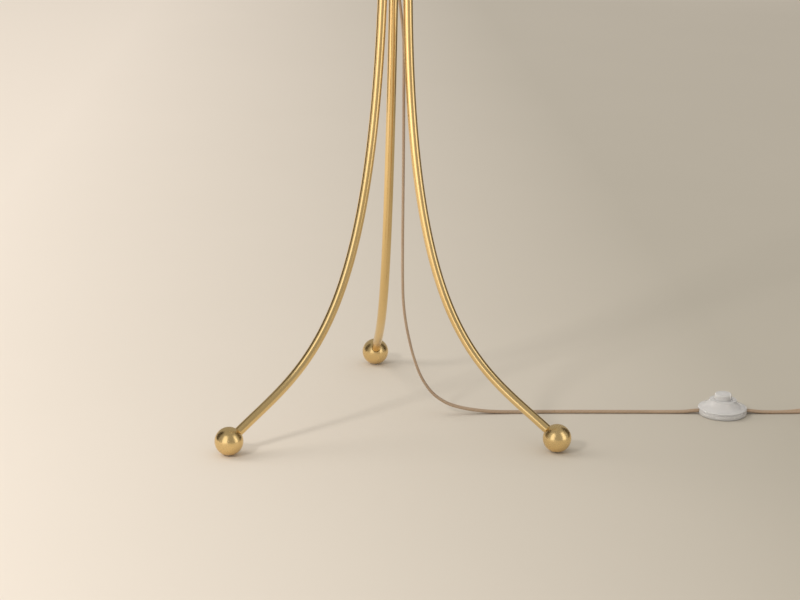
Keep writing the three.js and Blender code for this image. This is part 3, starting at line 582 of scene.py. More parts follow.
def make_liner():
    """The white film inside the shade, with a faint orange-peel surface."""
    finish = Finish("shade_liner", (0.86, 0.85, 0.81), roughness=0.5)
    finish.colors(finish.noise(12, 4), [(0.3, (0.82, 0.80, 0.76)), (0.7, (0.88, 0.87, 0.84))])
    finish.roughness(finish.noise(60, 4), 0.42, 0.6)
    finish.bump(finish.noise(220, 3), 0.2, 0.0001)
    return finish.material


clear_plastic = make_clear_plastic()
cord_vinyl = make_cord_vinyl()
plug_vinyl = moulded(
    "plug_vinyl", VINYL_LIGHT, VINYL_DARK, 0.38, 700.0, 0.00004, subsurface_weight=0.1,
    subsurface_radius=VINYL_DEPTH,
)
bulb_finish = make_bulb_glass()
linen = make_linen()
shade_liner = make_liner()

BODY_OF = {node: body for body, nodes in frame["record"]["behaviour"]["bodies"].items() for node in nodes}


def fit(piece, finish, *nodes, body=None):
    """Gives a piece its finish, and the CAD nodes that it stands for."""
    piece.data.materials.clear()
    piece.data.materials.append(finish)
    if nodes:
        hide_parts(*nodes)
    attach(piece, body or BODY_OF[nodes[0]])
    return piece


def fit_lathe(node, name, finish, outline, **options):
    """A turned piece that stands where its CAD node does."""
    return fit(lathe(name, outline, foot(node), **options), finish, node)


def fit_ring(node, name, finish, outline, **options):
    return fit_lathe(node, name, finish, outline, closed=True, **options)


# ---------- Cord ----------

LOBE = 1.7  # radius of each of the cord's two round conductors with their cover
LOBE_OFFSET = 1.7
COIL_PITCH = 3.5  # between turns side by side
COIL_LAYER = 7.0  # between the two layers of turns
COIL_TURNS = 5.25
COIL_LOW = 4.35  # middle of the lower layer
COIL_STEPS = 28  # points in each turn
CLIMB = (2.4, 2.85)  # turns between which the cord climbs to the upper layer

# From the bushing down between the rods, on to the floor, along it and through the switch.
DROP_ROUTE = [
    (0, 0, 609.7), (0.6, 0.2, 585), (3.4, 1.2, 555), (8, 2.8, 525), (12.2, 5, 490), (14.2, 9.5, 413),
    (15.6, 13.5, 337), (16.3, 16.5, 285), (17, 19, 233), (18.2, 21, 180), (19.6, 22.2, 153),
    (22.9, 23, 127), (28.2, 23.6, 101), (35.6, 24, 74), (46.2, 24, 48), (60.5, 24, 28),
    (77.6, 24, 15.6), (93, 24, 9.8), (109, 24, 6.3), (128, 24.2, 3.6), (148, 24.6, 2.2),
    (168, 25, 1.85), (226, 24.6, 1.85), (304, 22.4, 1.85), (366, 20.6, 1.85), (386, 19.8, 2.2),
    (405.2, 19.2, 4.0),
]
# From the switch along the floor, turning up on its edge, to the coil.
TAIL_ROUTE = [
    (468.8, 17.2, 4.0), (488, 16.6, 2.2), (508, 16.3, 1.85), (527, 16.2, 2.2), (548, 16.9, 3.1),
    (570, 19, 3.7),
]
# From the coil to the plug's neck, turning flat again.
END_ROUTE = [(633.4, -36, 11.1), (631.4, -50.6, 9.6), (630.2, -64, 8.0), (630, -80, 6.5), (630, -97.7, 6.0)]
EDGE_UP = (510, 575)  # mm from the axis, where the tail turns up on its edge
EDGE_DOWN = (-42, -90)  # and where the end turns flat
OFF_COIL = (20, -8, 10.5)  # right, back (from the coil's middle) and up, past which the cord leaves it


def share(value, start, end):
    """How far value is from start to end, eased, from 0 to 1."""
    t = min(1.0, max(0.0, (value - start) / (end - start)))
    return t * t * (3 - 2 * t)


def coil_route(centre):
    """The coil's turns, clockwise from above: inward along the floor, then outward on top."""
    outer = 42.4
    steps = round(COIL_TURNS * COIL_STEPS)
    turns = [COIL_TURNS * i / steps for i in range(steps + 1)]
    made = []
    for turn in turns:
        angle = math.pi / 2 - TURN * turn
        dip = 0.9 * math.exp(-(((turn - COIL_TURNS / 2) / 0.25) ** 2))
        radius = outer - COIL_PITCH * min(turn, COIL_TURNS - turn) - dip
        low = COIL_LOW + COIL_LAYER * share(turn, *CLIMB)
        made.append((centre[0] + radius * math.cos(angle), centre[1] + radius * math.sin(angle), low))
    return made


def cord_section():
    """Two round lobes joined by a web, as (across, over) offsets in metres."""
    half = []
    for i in range(13):
        angle = math.radians(-138 + 276 * i / 12)
        half.append((LOBE_OFFSET + LOBE * math.cos(angle), LOBE * math.sin(angle)))
    other = [(-a, -b) for a, b in half]
    return [(a * MM, b * MM) for a, b in half + other]


def make_cord():
    coil = (middle("cord_coil") - AXIS) / MM
    route = [*DROP_ROUTE, *TAIL_ROUTE, *coil_route(coil), *END_ROUTE]
    path = smooth_path([AXIS + Vector(p) * MM for p in route])
    on_coil = tail_end(path)
    across = []
    passed_coil = False
    for i, point in enumerate(path):
        place = (point - AXIS) / MM
        right, back = place.x - coil.x, place.y - coil.y
        leaving = right > OFF_COIL[0] and back < OFF_COIL[1] and place.z > OFF_COIL[2]
        passed_coil = passed_coil or leaving
        if place.x < EDGE_UP[0]:
            across.append(Vector((0, 1, 0)))
        elif not passed_coil:
            tilt = math.pi / 2 * (share(place.x, *EDGE_UP) if i < on_coil else 1)
            across.append(Vector((0, math.cos(tilt), math.sin(tilt))))
        else:
            tilt = math.pi / 2 * share(place.y, *EDGE_DOWN)
            across.append(Vector((math.sin(tilt), 0, math.cos(tilt))))
    piece = sweep("mains_cord", path, cord_section(), wide=across, round_ends=0.12)
    fit(piece, cord_vinyl, "cord_drop", "cord_tail", "cord_coil", "cord_end", body="stand")
    return piece, path


def tail_end(path):
    """The number of the first point of the path that is on the coil."""
    coil = middle("cord_coil")
    return next(i for i, p in enumerate(path) if p.x > coil.x - 0.012 and p.z < 0.02)


mains_cord, cord_path = make_cord()


# ---------- Legs ----------

ROD_RADIUS = 5.8
ROD_CIRCLE = 16.4  # lamp axis to each rod at the hub
ROD_DEPTH = 30  # how far a rod goes up into the hub
FOOT_LEAN = 55  # degrees from vertical at the foot
FOOT_PULL = 142
HUB_PULL = 502
END_INSET = 9
FOOT_STRAIGHT = 17
STUD_BORE = (3.3, 14)  # radius and depth of the rod's tapped hole
LEG_POINTS = 110
PAD_RADIUS = 4.8
PAD_HEIGHT = 3
SEAT = 0.3  # gap between pieces that fit together

hub_foot = foot("hub_body")


def leg_directions(side):
    """The ball's centre, and unit vectors outward along the floor and up along the rod's foot."""
    low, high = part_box(f"ball_foot_{side}")
    radius = (high.z - low.z) / 2
    spot = middle(f"foot_pad_{side}")
    centre = Vector((spot.x, spot.y, radius))
    outward = (Vector((spot.x, spot.y, 0)) - AXIS).normalized()
    lean = math.radians(FOOT_LEAN)
    along = -outward * math.sin(lean) + UP * math.cos(lean)
    return centre, radius, outward, along


def make_leg(side):
    centre, radius, outward, along = leg_directions(side)
    start = centre + along * (END_INSET * MM)
    bend = start + along * (FOOT_STRAIGHT * MM)
    at_hub = AXIS + outward * (ROD_CIRCLE * MM) + UP * hub_foot
    curve = bezier(
        bend, centre + along * (FOOT_PULL * MM), at_hub - UP * (HUB_PULL * MM), at_hub, LEG_POINTS
    )
    path = [start, start.lerp(bend, 0.5), *curve, at_hub + UP * (ROD_DEPTH * MM)]
    bore, depth = STUD_BORE
    piece = sweep(
        f"rod_{side}", path, circle(ROD_RADIUS * MM, 40), wide=outward.cross(UP),
        bore=(bore * MM, depth * MM),
    )
    fit(piece, rod_brass, f"leg_rod_{side}")
    make_ball(side, centre, radius, along)
    outline = [(0, 0), (PAD_RADIUS, 0), (PAD_RADIUS, PAD_HEIGHT), (0, PAD_HEIGHT)]
    fit_lathe(f"foot_pad_{side}", f"pad_{side}", clear_plastic, outline, centre=centre, fillet=0.5, sides=40)


def make_ball(side, centre, radius, along):
    """A ball turned about the rod's line, with the rod's seat and the stud's hole, and the pad's pocket."""
    seat = ROD_RADIUS + SEAT
    ball = radius / MM
    opening = math.degrees(math.asin(seat / ball))
    outline = [
        (0, -8.3), (3.3, -8.3), (3.3, END_INSET - SEAT), (seat, END_INSET - SEAT),
        *arc(0, 0, ball, 90 - opening, -90, 56),
    ]
    outline[-1] = (0, -ball)
    piece = lathe(f"ball_{side}", outline, centre=ORIGIN, fillet=0.12, sides=96)
    stand_along(piece, along, centre)
    pocket = disc((PAD_RADIUS + SEAT) * MM, -0.001, (PAD_HEIGHT + SEAT) * MM, centre)
    fit(cut(piece, pocket), ball_brass, f"ball_foot_{side}")


SIDES = ("back", "left", "right")
for side in SIDES:
    make_leg(side)


# ---------- Hub, stem and neck ----------

HUB_RADIUS = 28
HUB_HEIGHT = 68
STEM_RADIUS = 8
STEM_SEAT = 6.5  # how far the stem goes down into the hub
COLLAR = 10.6
CORD_WAY = 4.8  # radius of the hole for the cord
BUSHING_SEAT = (5.9, 12.3)  # radius and depth of the hole for the bushing
SCREW_HOLE = 2.8
CUT_PAST = 1  # how far a cutting tool runs past the surface


def make_hub():
    body = lathe(
        "hub",
        [
            (0, 0), (HUB_RADIUS - 1.2, 0), (HUB_RADIUS, 1.2), (HUB_RADIUS, 4.4), (HUB_RADIUS - 0.7, 5),
            (HUB_RADIUS - 0.7, 6), (HUB_RADIUS, 6.6), (HUB_RADIUS, 35), (HUB_RADIUS - 0.7, 35.6),
            (HUB_RADIUS - 0.7, 36.6), (HUB_RADIUS, 37.2),
            *arc(HUB_RADIUS - 6, 42, 6, 0, 68, 8),
            *arc(COLLAR + 7.4, 57.6, 7.2, 250, 186, 8),
            (COLLAR, 60), (COLLAR, 63), (COLLAR + 0.7, 63.6), (COLLAR + 0.7, 65), (COLLAR, 65.6),
            (COLLAR, 67), (COLLAR - 0.8, HUB_HEIGHT), (0, HUB_HEIGHT),
        ],
        hub_foot, sides=128, fillet=0.5,
    )
    below = hub_foot - CUT_PAST * MM
    above = hub_foot + (HUB_HEIGHT + CUT_PAST) * MM
    tools = [
        disc(BUSHING_SEAT[0] * MM, below, hub_foot + BUSHING_SEAT[1] * MM),
        disc((STEM_RADIUS + SEAT) * MM, hub_foot + (HUB_HEIGHT - STEM_SEAT) * MM, above),
        disc(CORD_WAY * MM, below, above),
    ]
    for side in SIDES:
        outward = leg_directions(side)[2]
        spot = AXIS + outward * (ROD_CIRCLE * MM)
        tools.append(disc((ROD_RADIUS + SEAT) * MM, below, hub_foot + (ROD_DEPTH + SEAT) * MM, spot))
        screw = UP * middle(f"hub_grub_screw_{side}").z
        outside = AXIS + outward * ((HUB_RADIUS + CUT_PAST) * MM)
        tools.append(rod(SCREW_HOLE * MM, spot + screw, outside + screw))
        make_grub_screw(side)
    fit(cut(body, *tools), turned_brass, "hub_body")


def make_grub_screw(side):
    """A cone-point socket screw that holds a rod in the hub."""
    outward = leg_directions(side)[2]
    height = middle(f"hub_grub_screw_{side}").z
    inner = AXIS + outward * 0.0225 + UP * height
    outer = AXIS + outward * 0.0274 + UP * height
    outline = [(0, 0), (1.4, 0), *[(2.35, 0.8 + 0.1 * i) for i in range(38)], (2.0, 4.9), (1.3, 4.9)]
    outline += [(1.3, 2.9), (0, 2.4)]
    piece = lathe(
        f"grub_screw_{side}", outline, centre=ORIGIN, fillet=0.08, sides=36, wave=thread(0.14, 0.8)
    )
    stand_along(piece, outer - inner, inner)
    fit(piece, steel, f"hub_grub_screw_{side}")


def make_bushing():
    """The cord's bushing: a tapered rubber boot with flex grooves, and a slot for the flat cord."""
    low = foot("cord_bushing")
    ribs = [(4.9, 0), (5.2, 0.8)]
    for i in range(5):
        base = 3.2 + 4.4 * i
        radius = 5.25 + 0.12 * i
        ribs += [(radius, base), (radius - 0.75, base + 0.35), (radius - 0.75, base + 1.25),
                 (radius + 0.05, base + 1.6)]
    outline = [(0, 0), *ribs, (7.1, 27.2), (7.1, 29.6), (5.55, 29.6), (5.55, 42), (0, 42)]
    body = lathe("bushing", outline, low, fillet=0.25, sides=64)
    slot = block(0.0042, 0.0076, low - 0.001, low + 0.043, AXIS)
    return fit(cut(body, slot), black_plastic, "cord_bushing")


def tube(name, outer, inner, height, low, **options):
    return turned_ring(name, [(outer, 0), (outer, height), (inner, height), (inner, 0)], low=low, **options)


def make_stem():
    for name in ("stem_lower", "stem_upper"):
        height = tallness(name)
        piece = tube(f"{name}_tube", STEM_RADIUS, 5.85, height, foot(name), sides=64, fillet=0.3)
        fit(piece, rod_brass, name)
    fit_ring(
        "stem_coupler", "coupler", turned_brass,
        [
            (8.3, 0), (9.2, 0), (10, 0.8), (10, 3.6), (9.2, 4.2), (9.2, 5),
            *arc(8.6, 12, 4.1, -66, 66, 14),
            (9.2, 19), (9.2, 19.8), (10, 20.4), (10, 23.2), (9.2, 24), (8.3, 24), (8.3, 18),
            (5.85, 18), (5.85, 6), (8.3, 6),
        ],
        sides=96, fillet=0.25,
    )
    fit_ring(
        "neck_cap", "neck", turned_brass,
        [
            (8.3, 0), (10, 0), (10.6, 0.8), (10.6, 2.6), (10, 3.2), (10.2, 4),
            *arc(18.5, 3.2, 8.2, 176, 112, 8),
            (15, 12.4), (15, 15.2), (14.2, 16), (5.85, 16), (5.85, 6), (8.3, 6),
        ],
        sides=96, fillet=0.3,
    )


make_hub()
bushing = make_bushing()
make_stem()


# ---------- Saddle, harp and sleeves ----------

HARP_WIRE = 1.7
HARP_FOOT = 34  # lamp axis to each foot of the harp
HARP_HEIGHT = 224
WIDEST_SHARE = 0.46  # how far up the harp is at its widest
HARP_PLATE = 2.4  # thickness of the plate that the shade's frame rests on


def side_point(x):
    return AXIS + Vector((x * MM, 0, 0))


def make_saddle():
    low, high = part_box("harp_saddle")
    width = (high.y - low.y) / 2 / MM
    strip_top = low.z + 0.002
    ends = arc(HARP_FOOT, 0, width, -90, 90, 20) + arc(-HARP_FOOT, 0, width, 90, 270, 20)
    outline = [(AXIS.x + x * MM, AXIS.y + y * MM) for x, y in ends]
    strip = slab("saddle", outline, low.z, strip_top)
    parts = []
    tall = (high.z - strip_top) / MM
    post = [(0, -0.5), (4.1, -0.5), (4.1, 1.4), (1.7, 1.4), (1.7, tall), (0, tall)]
    for x in (-HARP_FOOT, HARP_FOOT):
        parts.append(lathe("post", post, strip_top, side_point(x), sides=48, fillet=0.3))
    hole = disc(0.0058, low.z - 0.001, strip_top + 0.001)
    fit(cut(join(strip, *parts), hole), turned_brass, "harp_saddle")


def make_harp():
    plate = foot("shade_spider") - (HARP_PLATE + SEAT) * MM
    base = foot("harp") / MM
    straight = 26
    widest = base + WIDEST_SHARE * HARP_HEIGHT
    apex = plate / MM + HARP_PLATE - HARP_WIRE - 0.2
    under = plate / MM
    half = [
        (HARP_FOOT, base), (HARP_FOOT, base + straight / 2), (HARP_FOOT, base + straight),
        (50, base + straight + 24), (56, widest), (51, under - 56), (36, under - 18), (16, apex - 1.4),
        (0, apex),
    ]
    line = half + [(-x, z) for x, z in half[-2::-1]]
    path = smooth_path([AXIS + Vector((x * MM, 0, z * MM)) for x, z in line])
    wire = sweep("harp_wire", path, circle(HARP_WIRE * MM, 24), wide=Vector((0, 1, 0)), round_ends=0.3)
    stud_top = (top("harp") - plate) / MM
    turns = [(2.95, 3 + 0.12 * i) for i in range(round((stud_top - 4) / 0.12))]
    crown = lathe(
        "crown",
        [
            (0, 0), (6.4, 0), (7, 0.5), (7, 1.9), (6.4, HARP_PLATE), (2.95, HARP_PLATE), *turns,
            (2.3, stud_top), (0, stud_top),
        ],
        plate, sides=64, fillet=0.05, wave=thread(0.22, 0.94, 3.4, stud_top - 1),
    )
    fit(gather(wire, crown), rod_brass, "harp")


def make_sleeves():
    outline = [
        (2.2, 0), (3.8, 0), (4.1, 0.4), (4.1, 1.6), (3.7, 2), (3.7, 11), (4.1, 11.4), (4.1, 13.6), (3.8, 14),
        (2.2, 14),
    ]
    for name, x in (("harp_sleeve_left", -HARP_FOOT), ("harp_sleeve_right", HARP_FOOT)):
        fit_ring(name, f"{name}_tube", turned_brass, outline, centre=side_point(x), sides=48, fillet=0.2)


make_saddle()
make_harp()
make_sleeves()


# ---------- Lampholder and bulb ----------

SHELL_RADIUS = 16.8
THREAD_PITCH = 3.63
BULB_RADIUS = 30
GLASS_WALL = 0.9


def bead(height, radius, rise=0.4, half=0.8):
    """Outline points of a small bead round a shell."""
    return [(radius, height - half), (radius + rise, height - half / 3), (radius + rise, height + half / 3),
            (radius, height + half)]


def make_lampholder():
    r = SHELL_RADIUS
    fit_ring(
        "socket_cap", "holder_cap", turned_brass,
        [
            (5.9, 0), (7.6, 0), (8.2, 0.6), (8.2, 5.4), *arc(18.6, 5.2, 10.4, 178, 118, 8),
            (r + 0.3, 15.6), (r + 0.45, 16.6), (r + 0.45, 19.4), (r, 20), (r - 0.7, 20), (r - 0.7, 16.4),
            (r - 2.6, 13.4), (9.2, 9.5), (5.9, 7.5),
        ],
        sides=96, fillet=0.35,
    )
    height = tallness("socket_shell")
    fit_ring(
        "socket_shell", "holder_shell", turned_brass,
        [
            (r - 0.6, 0), (r, 0), *bead(4, r), *bead(7, r), *bead(height - 8, r), (r, height - 1),
            (r + 0.35, height - 0.6), (r + 0.35, height), (r - 0.6, height),
        ],
        sides=96, fillet=0.3,
    )
    height = tallness("socket_liner")
    liner = tube("holder_liner", r - 1.05, r - 1.55, height, foot("socket_liner"), sides=72, fillet=0.1)
    fit(liner, liner_board, "socket_liner")
    height = tallness("screw_shell")
    threads = [0.6 * i for i in range(int(height / 0.6))]
    outline = [(13.75, z) for z in threads] + [(13.75, height)]
    outline += [(13.3, height)] + [(13.3, z) for z in reversed(threads[1:])] + [(6.6, 0.5), (6.6, 0)]
    wave = thread(0.3, THREAD_PITCH, 2, height - 1)
    fit_ring("screw_shell", "holder_thread", raw_brass, outline, fillet=0.05, wave=wave)


def make_bulb():
    height = tallness("bulb_base")
    threads = [7.5 + 0.45 * i for i in range(36)]
    fit_lathe(
        "bulb_base", "bulb_cap", steel,
        [
            (0, 0), (3.4, 0), (3.8, 0.5), (4.4, 1.4), (7.6, 3.2), (11.6, 5.6), *[(12.1, z) for z in threads],
            (12.5, 24.2), (12.5, height), (12.2, height), (12.2, 8), (0, 6),
        ],
        sides=72, fillet=0.1, wave=thread(0.42, THREAD_PITCH, 7.6, 23),
    )
    tall = tallness("bulb_glass")
    globe = tall - BULB_RADIUS

    def envelope(inset):
        neck = 11.8 - inset
        path = [(neck, 0), (neck, 12), (neck + 0.6, 16)]
        path += arc(0, globe, BULB_RADIUS - inset, -42, 84, 24)
        return path + [(0, tall - inset)]

    outline = envelope(0) + envelope(GLASS_WALL)[::-1]
    outline.append(outline[0])
    fit_lathe("bulb_glass", "bulb_envelope", bulb_finish, outline, sides=96, fillet=1.2)


make_lampholder()
make_bulb()


# ---------- Shade and finial ----------

SHADE_TOP_RADIUS = 188
SHADE_FOOT_RADIUS = 215
SHADE_SIDES = 240
SHADE_WIRE = 1.6
ARM_WIRE = 1.38
RING_INSET = 4  # from the shade's top and foot to its two wire rings
HEM = 11  # height of the folded edge tapes
SEAM_WIDTH = 14

shade_low = foot("shade_skin")
shade_height = tallness("shade_skin")


def shade_radius(height):
    """The skin's outer radius, in mm, at a height above its foot."""
    return SHADE_FOOT_RADIUS + (SHADE_TOP_RADIUS - SHADE_FOOT_RADIUS) * height / shade_height


def cone_shell(name, low, high, outer, inner, steps=12, relief=None):
    """A thin conical shell between two heights above the shade's foot, at offsets from the skin."""
    heights = [low + (high - low) * i / steps for i in range(steps + 1)]
    outline = [(shade_radius(z) + outer, z) for z in heights]
    outline += [(shade_radius(z) + inner, z) for z in reversed(heights)]
    return turned_ring(name, outline, low=shade_low, sides=SHADE_SIDES, fillet=0.15, wave=relief)


def sag(angle, height):
    """The cloth's slight unevenness between its stiff edges."""
    belly = math.sin(math.pi * min(1, max(0, height / shade_height)))
    return belly * (0.22 * math.sin(5 * angle + 1.1) + 0.14 * math.sin(11 * angle + 0.4))


def make_shade():
    cloth = cone_shell("shade_cloth", 0.4, shade_height - 0.4, 0, -0.7, 40, sag)
    fit(cloth, linen, "shade_skin")
    film = cone_shell("shade_film", 0.4, shade_height - 0.4, -0.75, -1.25, 40, sag)
    fit(film, shade_liner, body="shade")
    for name, low, high in (("shade_hem_foot", 0, HEM), ("shade_hem_top", shade_height - HEM, shade_height)):
        outside = cone_shell(name, low, high, 0.85, 0.02, 6)
        inside = cone_shell(name + "_inner", low, high, -1.3, -1.75, 6)
        fit(gather(outside, inside), linen, body="shade")
    make_seam()


def make_seam():
    """The upright seam at the back, where the cloth's end laps over its start."""
    steps = 30
    rings = []
    for i in range(steps + 1):
        height = HEM + (shade_height - 2 * HEM) * i / steps
        ring = []
        for side, offset in ((-1, 0.05), (-0.92, 0.5), (0, 0.62), (0.92, 0.5), (1, 0.05), (0, 0.02)):
            radius = (shade_radius(height) + sag(math.pi / 2, height) + offset) * MM
            angle = math.pi / 2 + side * SEAM_WIDTH / 2 * MM / radius
            flat = Vector((math.cos(angle), math.sin(angle), 0))
            ring.append(AXIS + flat * radius + UP * (shade_low + height * MM))
        rings.append(ring)
    return fit(skin("shade_seam", rings), linen, body="shade")


def hoop(name, radius, z):
    """A closed round wire of the shade's frame, about the lamp's axis."""
    ring = [(radius + a, z + b) for a, b in circle(SHADE_WIRE, 16)]
    return turned_ring(name, ring, low=shade_low, sides=160, fillet=0)


def make_shade_wires():
    ring_height = shade_height - RING_INSET
    inset = 1.4 + 0.3 + SHADE_WIRE + 0.2
    radius = shade_radius(ring_height) - inset
    washer_low = foot("shade_spider")
    washer = turned_ring(
        "spider",
        [(3.7, 0), (13.2, 0), (14, 0.5), (14, 1.3), (13.2, 1.8), (5.2, 1.8), (4.6, 2.2), (3.7, 2.2)],
        low=washer_low, sides=64, fillet=0.2,
    )
    parts = [hoop("spider_ring", radius, ring_height)]
    middle_z = washer_low + 0.0009
    ring_z = shade_low + ring_height * MM
    for degrees in (90, 210, 330):
        angle = math.radians(degrees)
        ray = Vector((math.cos(angle), math.sin(angle), 0)) * MM
        knee = AXIS + ray * (radius - 26) + UP * (middle_z + 0.001)
        pull = AXIS + ray * (radius - 10) + UP * (ring_z - 0.005)
        end = AXIS + ray * radius + UP * ring_z
        start = AXIS + ray * 12 + UP * middle_z
        steps = [i / 14 for i in range(1, 15)]
        bend = [knee * (1 - t) ** 2 + pull * (2 * t * (1 - t)) + end * t * t for t in steps]
        path = [start, start.lerp(knee, 0.5), knee, *bend]
        parts.append(sweep("arm", path, circle(ARM_WIRE * MM, 16), wide=ray.cross(UP)))
    fit(gather(washer, *parts), drawn_brass, "shade_spider")
    low_radius = shade_radius(RING_INSET) - inset
    fit(hoop("shade_foot_ring", low_radius, RING_INSET), drawn_brass, "shade_bottom_ring")


def make_finial():
    tall = tallness("finial")
    fit_lathe(
        "finial", "finial_knob", turned_brass,
        [
            (0, 17.9), (3.7, 17.9), (3.7, 0), (6.6, 0), (7.4, 0.7), (7.4, 2), (6.8, 2.6), (6.8, 3.2),
            (7.1, 3.8), *arc(9.6, 8.4, 5.2, 232, 148, 8), (5.4, 11.4), (5.4, 12.2),
            *arc(0, tall - 10, 10, -54, 88, 24), (0, tall),
        ],
        sides=96, fillet=0.2,
    )


make_shade()
make_shade_wires()
make_finial()


# ---------- Foot switch ----------

SWITCH_RADIUS = 31.5
SWITCH_RIM = 7
SWITCH_SCREW = 25
BUTTON_RADIUS = 10.8
CLOSED_TURNS = 0.13  # share of the spring's wire in the closed turns at each end
CLOSED_RISE = 0.07  # share of its height that they take up

switch_spot = middle("switch_base")
switch_spot.z = 0


def switch_point(x, y):
    return switch_spot + Vector((x, y, 0)) * MM


def make_switch_base():
    r = SWITCH_RADIUS
    tray = turned_ring(
        "switch_tray",
        [(r - 1.4, 0), (r, 1.2), (r, SWITCH_RIM), (r - 2, SWITCH_RIM), (r - 2, 2), (0.01, 2), (0.01, 0)],
        low=0, centre=switch_spot, sides=128, fillet=0.6,
    )
    rib = tube("rib", 20, 18.4, 4.5, 0.0015, centre=switch_spot, sides=96)
    bosses = [disc(0.0038, 0.0015, 0.004, switch_point(0, y)) for y in (-SWITCH_SCREW, SWITCH_SCREW)]
    slot = block(0.067, 0.0080, 0.002, 0.009, switch_spot)
    holes = [disc(0.0017, -0.001, 0.005, switch_point(0, y)) for y in (-SWITCH_SCREW, SWITCH_SCREW)]
    holes += [disc(0.0032, -0.001, 0.002, switch_point(0, y)) for y in (-SWITCH_SCREW, SWITCH_SCREW)]
    piece = cut(join(tray, rib, *bosses), slot, *holes)
    return fit(piece, clear_plastic, "switch_base")


def make_switch_cover():
    r = SWITCH_RADIUS
    outside = [
        (r - 0.2, 7.3), (r, 7.6), (r, 8.9), (r - 1, 9.5), (r - 3.4, 10.2),
        *arc(r + 1.4, 27.5, 17.6, 253, 207, 10)[1:], (17.6, 19.4),
    ]
    inside = [
        (16.2, 17.7), *arc(r + 1.4, 27.5, 19.6, 207, 250, 8), (r - 5, 8.4), (r - 2.2, 8.2), (r - 2.2, 7.3),
    ]
    shell = turned_ring(
        "switch_dome",
        [*outside, (12.6, 19.4), (12.1, 20.0), (11.3, 20.0), (11.3, 17.7), *inside],
        low=0, centre=switch_spot, sides=128, fillet=0.5,
    )
    spots = [switch_point(0, y) for y in (-SWITCH_SCREW, SWITCH_SCREW)]
    posts = [tube("post", 3, 1.4, 5.6, 0.0043, centre=spot, sides=40) for spot in spots]
    return fit(gather(shell, *posts), clear_plastic, "switch_cover")


def make_switch_button():
    high = top("switch_button") / MM
    outline = [
        (0, high), *arc(0, high - 66, 66, 90, 82.6, 5)[1:], *arc(9.1, high - 2.2, 1.7, 78, 0, 6),
        (BUTTON_RADIUS, 24), (BUTTON_RADIUS, 17.1), (12.4, 17.1), (12.4, 15.7), (9.2, 15.7),
        (9.2, high - 2.4), (6, high - 2.4), (6, 12.4), (4.6, 12.4), (4.6, high - 2.4), (0, high - 2.4),
    ]
    piece = lathe("switch_knob", outline, centre=switch_spot, sides=96, fillet=0.3)
    return fit(piece, clear_plastic, "switch_button")


def make_switch_insides():
    plate = tallness("switch_frame")
    made = [fit_lathe(
        "switch_frame", "switch_carrier", white_plastic,
        [
            (0, 0), (20.6, 0), (21, 0.4), (21, 1), (20.6, 1.4), (8, 1.4), (7.4, 2), (6.8, 1.4), (2.2, 1.4),
            (2.2, plate - 0.5), (1.7, plate), (0, plate),
        ],
        centre=switch_spot, sides=96, fillet=0.2,
    )]
    height = tallness("switch_contact_washer")
    low = foot("switch_contact_washer")
    piece = tube("switch_bridge", 12, 6.6, height, low, centre=switch_spot, fillet=0.2)
    made.append(fit(piece, raw_brass, "switch_contact_washer"))
    for side in ("left", "right"):
        node = f"switch_contact_{side}"
        low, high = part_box(node)
        outline = [(low.x, low.y), (high.x, low.y), (high.x, high.y), (low.x, high.y)]
        made.append(fit(slab(node + "_blade", outline, low.z, high.z, 0.3 * MM), raw_brass, node))
    made.append(make_switch_spring())
    for side, y in (("front", -SWITCH_SCREW), ("back", SWITCH_SCREW)):
        node = f"switch_screw_{side}"
        shank = tallness(node)
        outline = [(0, 0.5), (1.2, 0.5), (1.5, 0), (2.4, 0.1), (2.8, 0.6), (2.8, 1.1), (1.2, 1.3)]
        outline += [(1.0, 1.7 + 0.12 * i) for i in range(round((shank - 2.4) / 0.12))] + [(0, shank)]
        made.append(fit_lathe(
            node, node + "_steel", steel, outline, centre=switch_point(0, y), sides=36, fillet=0.08,
            wave=thread(0.2, 0.9, 1.8),
        ))
    return made


def make_switch_spring():
    low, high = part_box("switch_spring")
    radius = 3.4
    wire = 0.45
    turns = 6
    steps = turns * 28
    path = []
    for i in range(steps + 1):
        t = i / steps
        ease = min(max((t - CLOSED_TURNS) / (1 - 2 * CLOSED_TURNS), 0), 1)
        ends = min(t / CLOSED_TURNS, 1) + max((t - 1 + CLOSED_TURNS) / CLOSED_TURNS, 0)
        rise = CLOSED_RISE * ends + (1 - 2 * CLOSED_RISE) * ease
        z = low.z + wire * MM + (high.z - low.z - 2 * wire * MM) * rise
        angle = TURN * turns * t
        path.append(switch_point(radius * math.cos(angle), radius * math.sin(angle)) + UP * z)
    piece = sweep("switch_coil_spring", path, circle(wire * MM, 12), wide=UP, round_ends=0.3)
    fit(piece, steel, "switch_spring")
    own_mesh(piece)
    return piece


switch_pieces = [make_switch_base(), make_switch_cover(), make_switch_button(), *make_switch_insides()]


# ---------- Coil ties and plug ----------

def make_tie(side, degrees):
    """A flat strap round the coil's turns."""
    coil = middle("cord_coil")
    angle = math.radians(degrees)
    outward = Vector((math.cos(angle), math.sin(angle), 0))
    centre = Vector((coil.x, coil.y, 0)) + outward * (37.7 * MM)
    across = UP.cross(outward)
    half, corner = (7.1, 7.55), 2.2
    loop = []
    for sx, sz, start in ((1, -1, -90), (1, 1, 0), (-1, 1, 90), (-1, -1, 180)):
        loop += arc(sx * (half[0] - corner), sz * (half[1] - corner), corner, start, start + 90, 6)
    path = [centre + outward * (x * MM) + UP * ((8.25 + z) * MM) for x, z in loop]
    path.append(path[0])
    strap = [(-4, -0.3), (4, -0.3), (4, 0.3), (-4, 0.3)]
    section = [(a * MM, b * MM) for a, b in rounded([*strap, strap[0]], 0.2, 2)[:-1]]
    piece = sweep(f"tie_{side}", path, section, wide=across, closed=True)
    return fit(piece, black_plastic, f"coil_tie_{side}")


PLUG_HIGH = 12


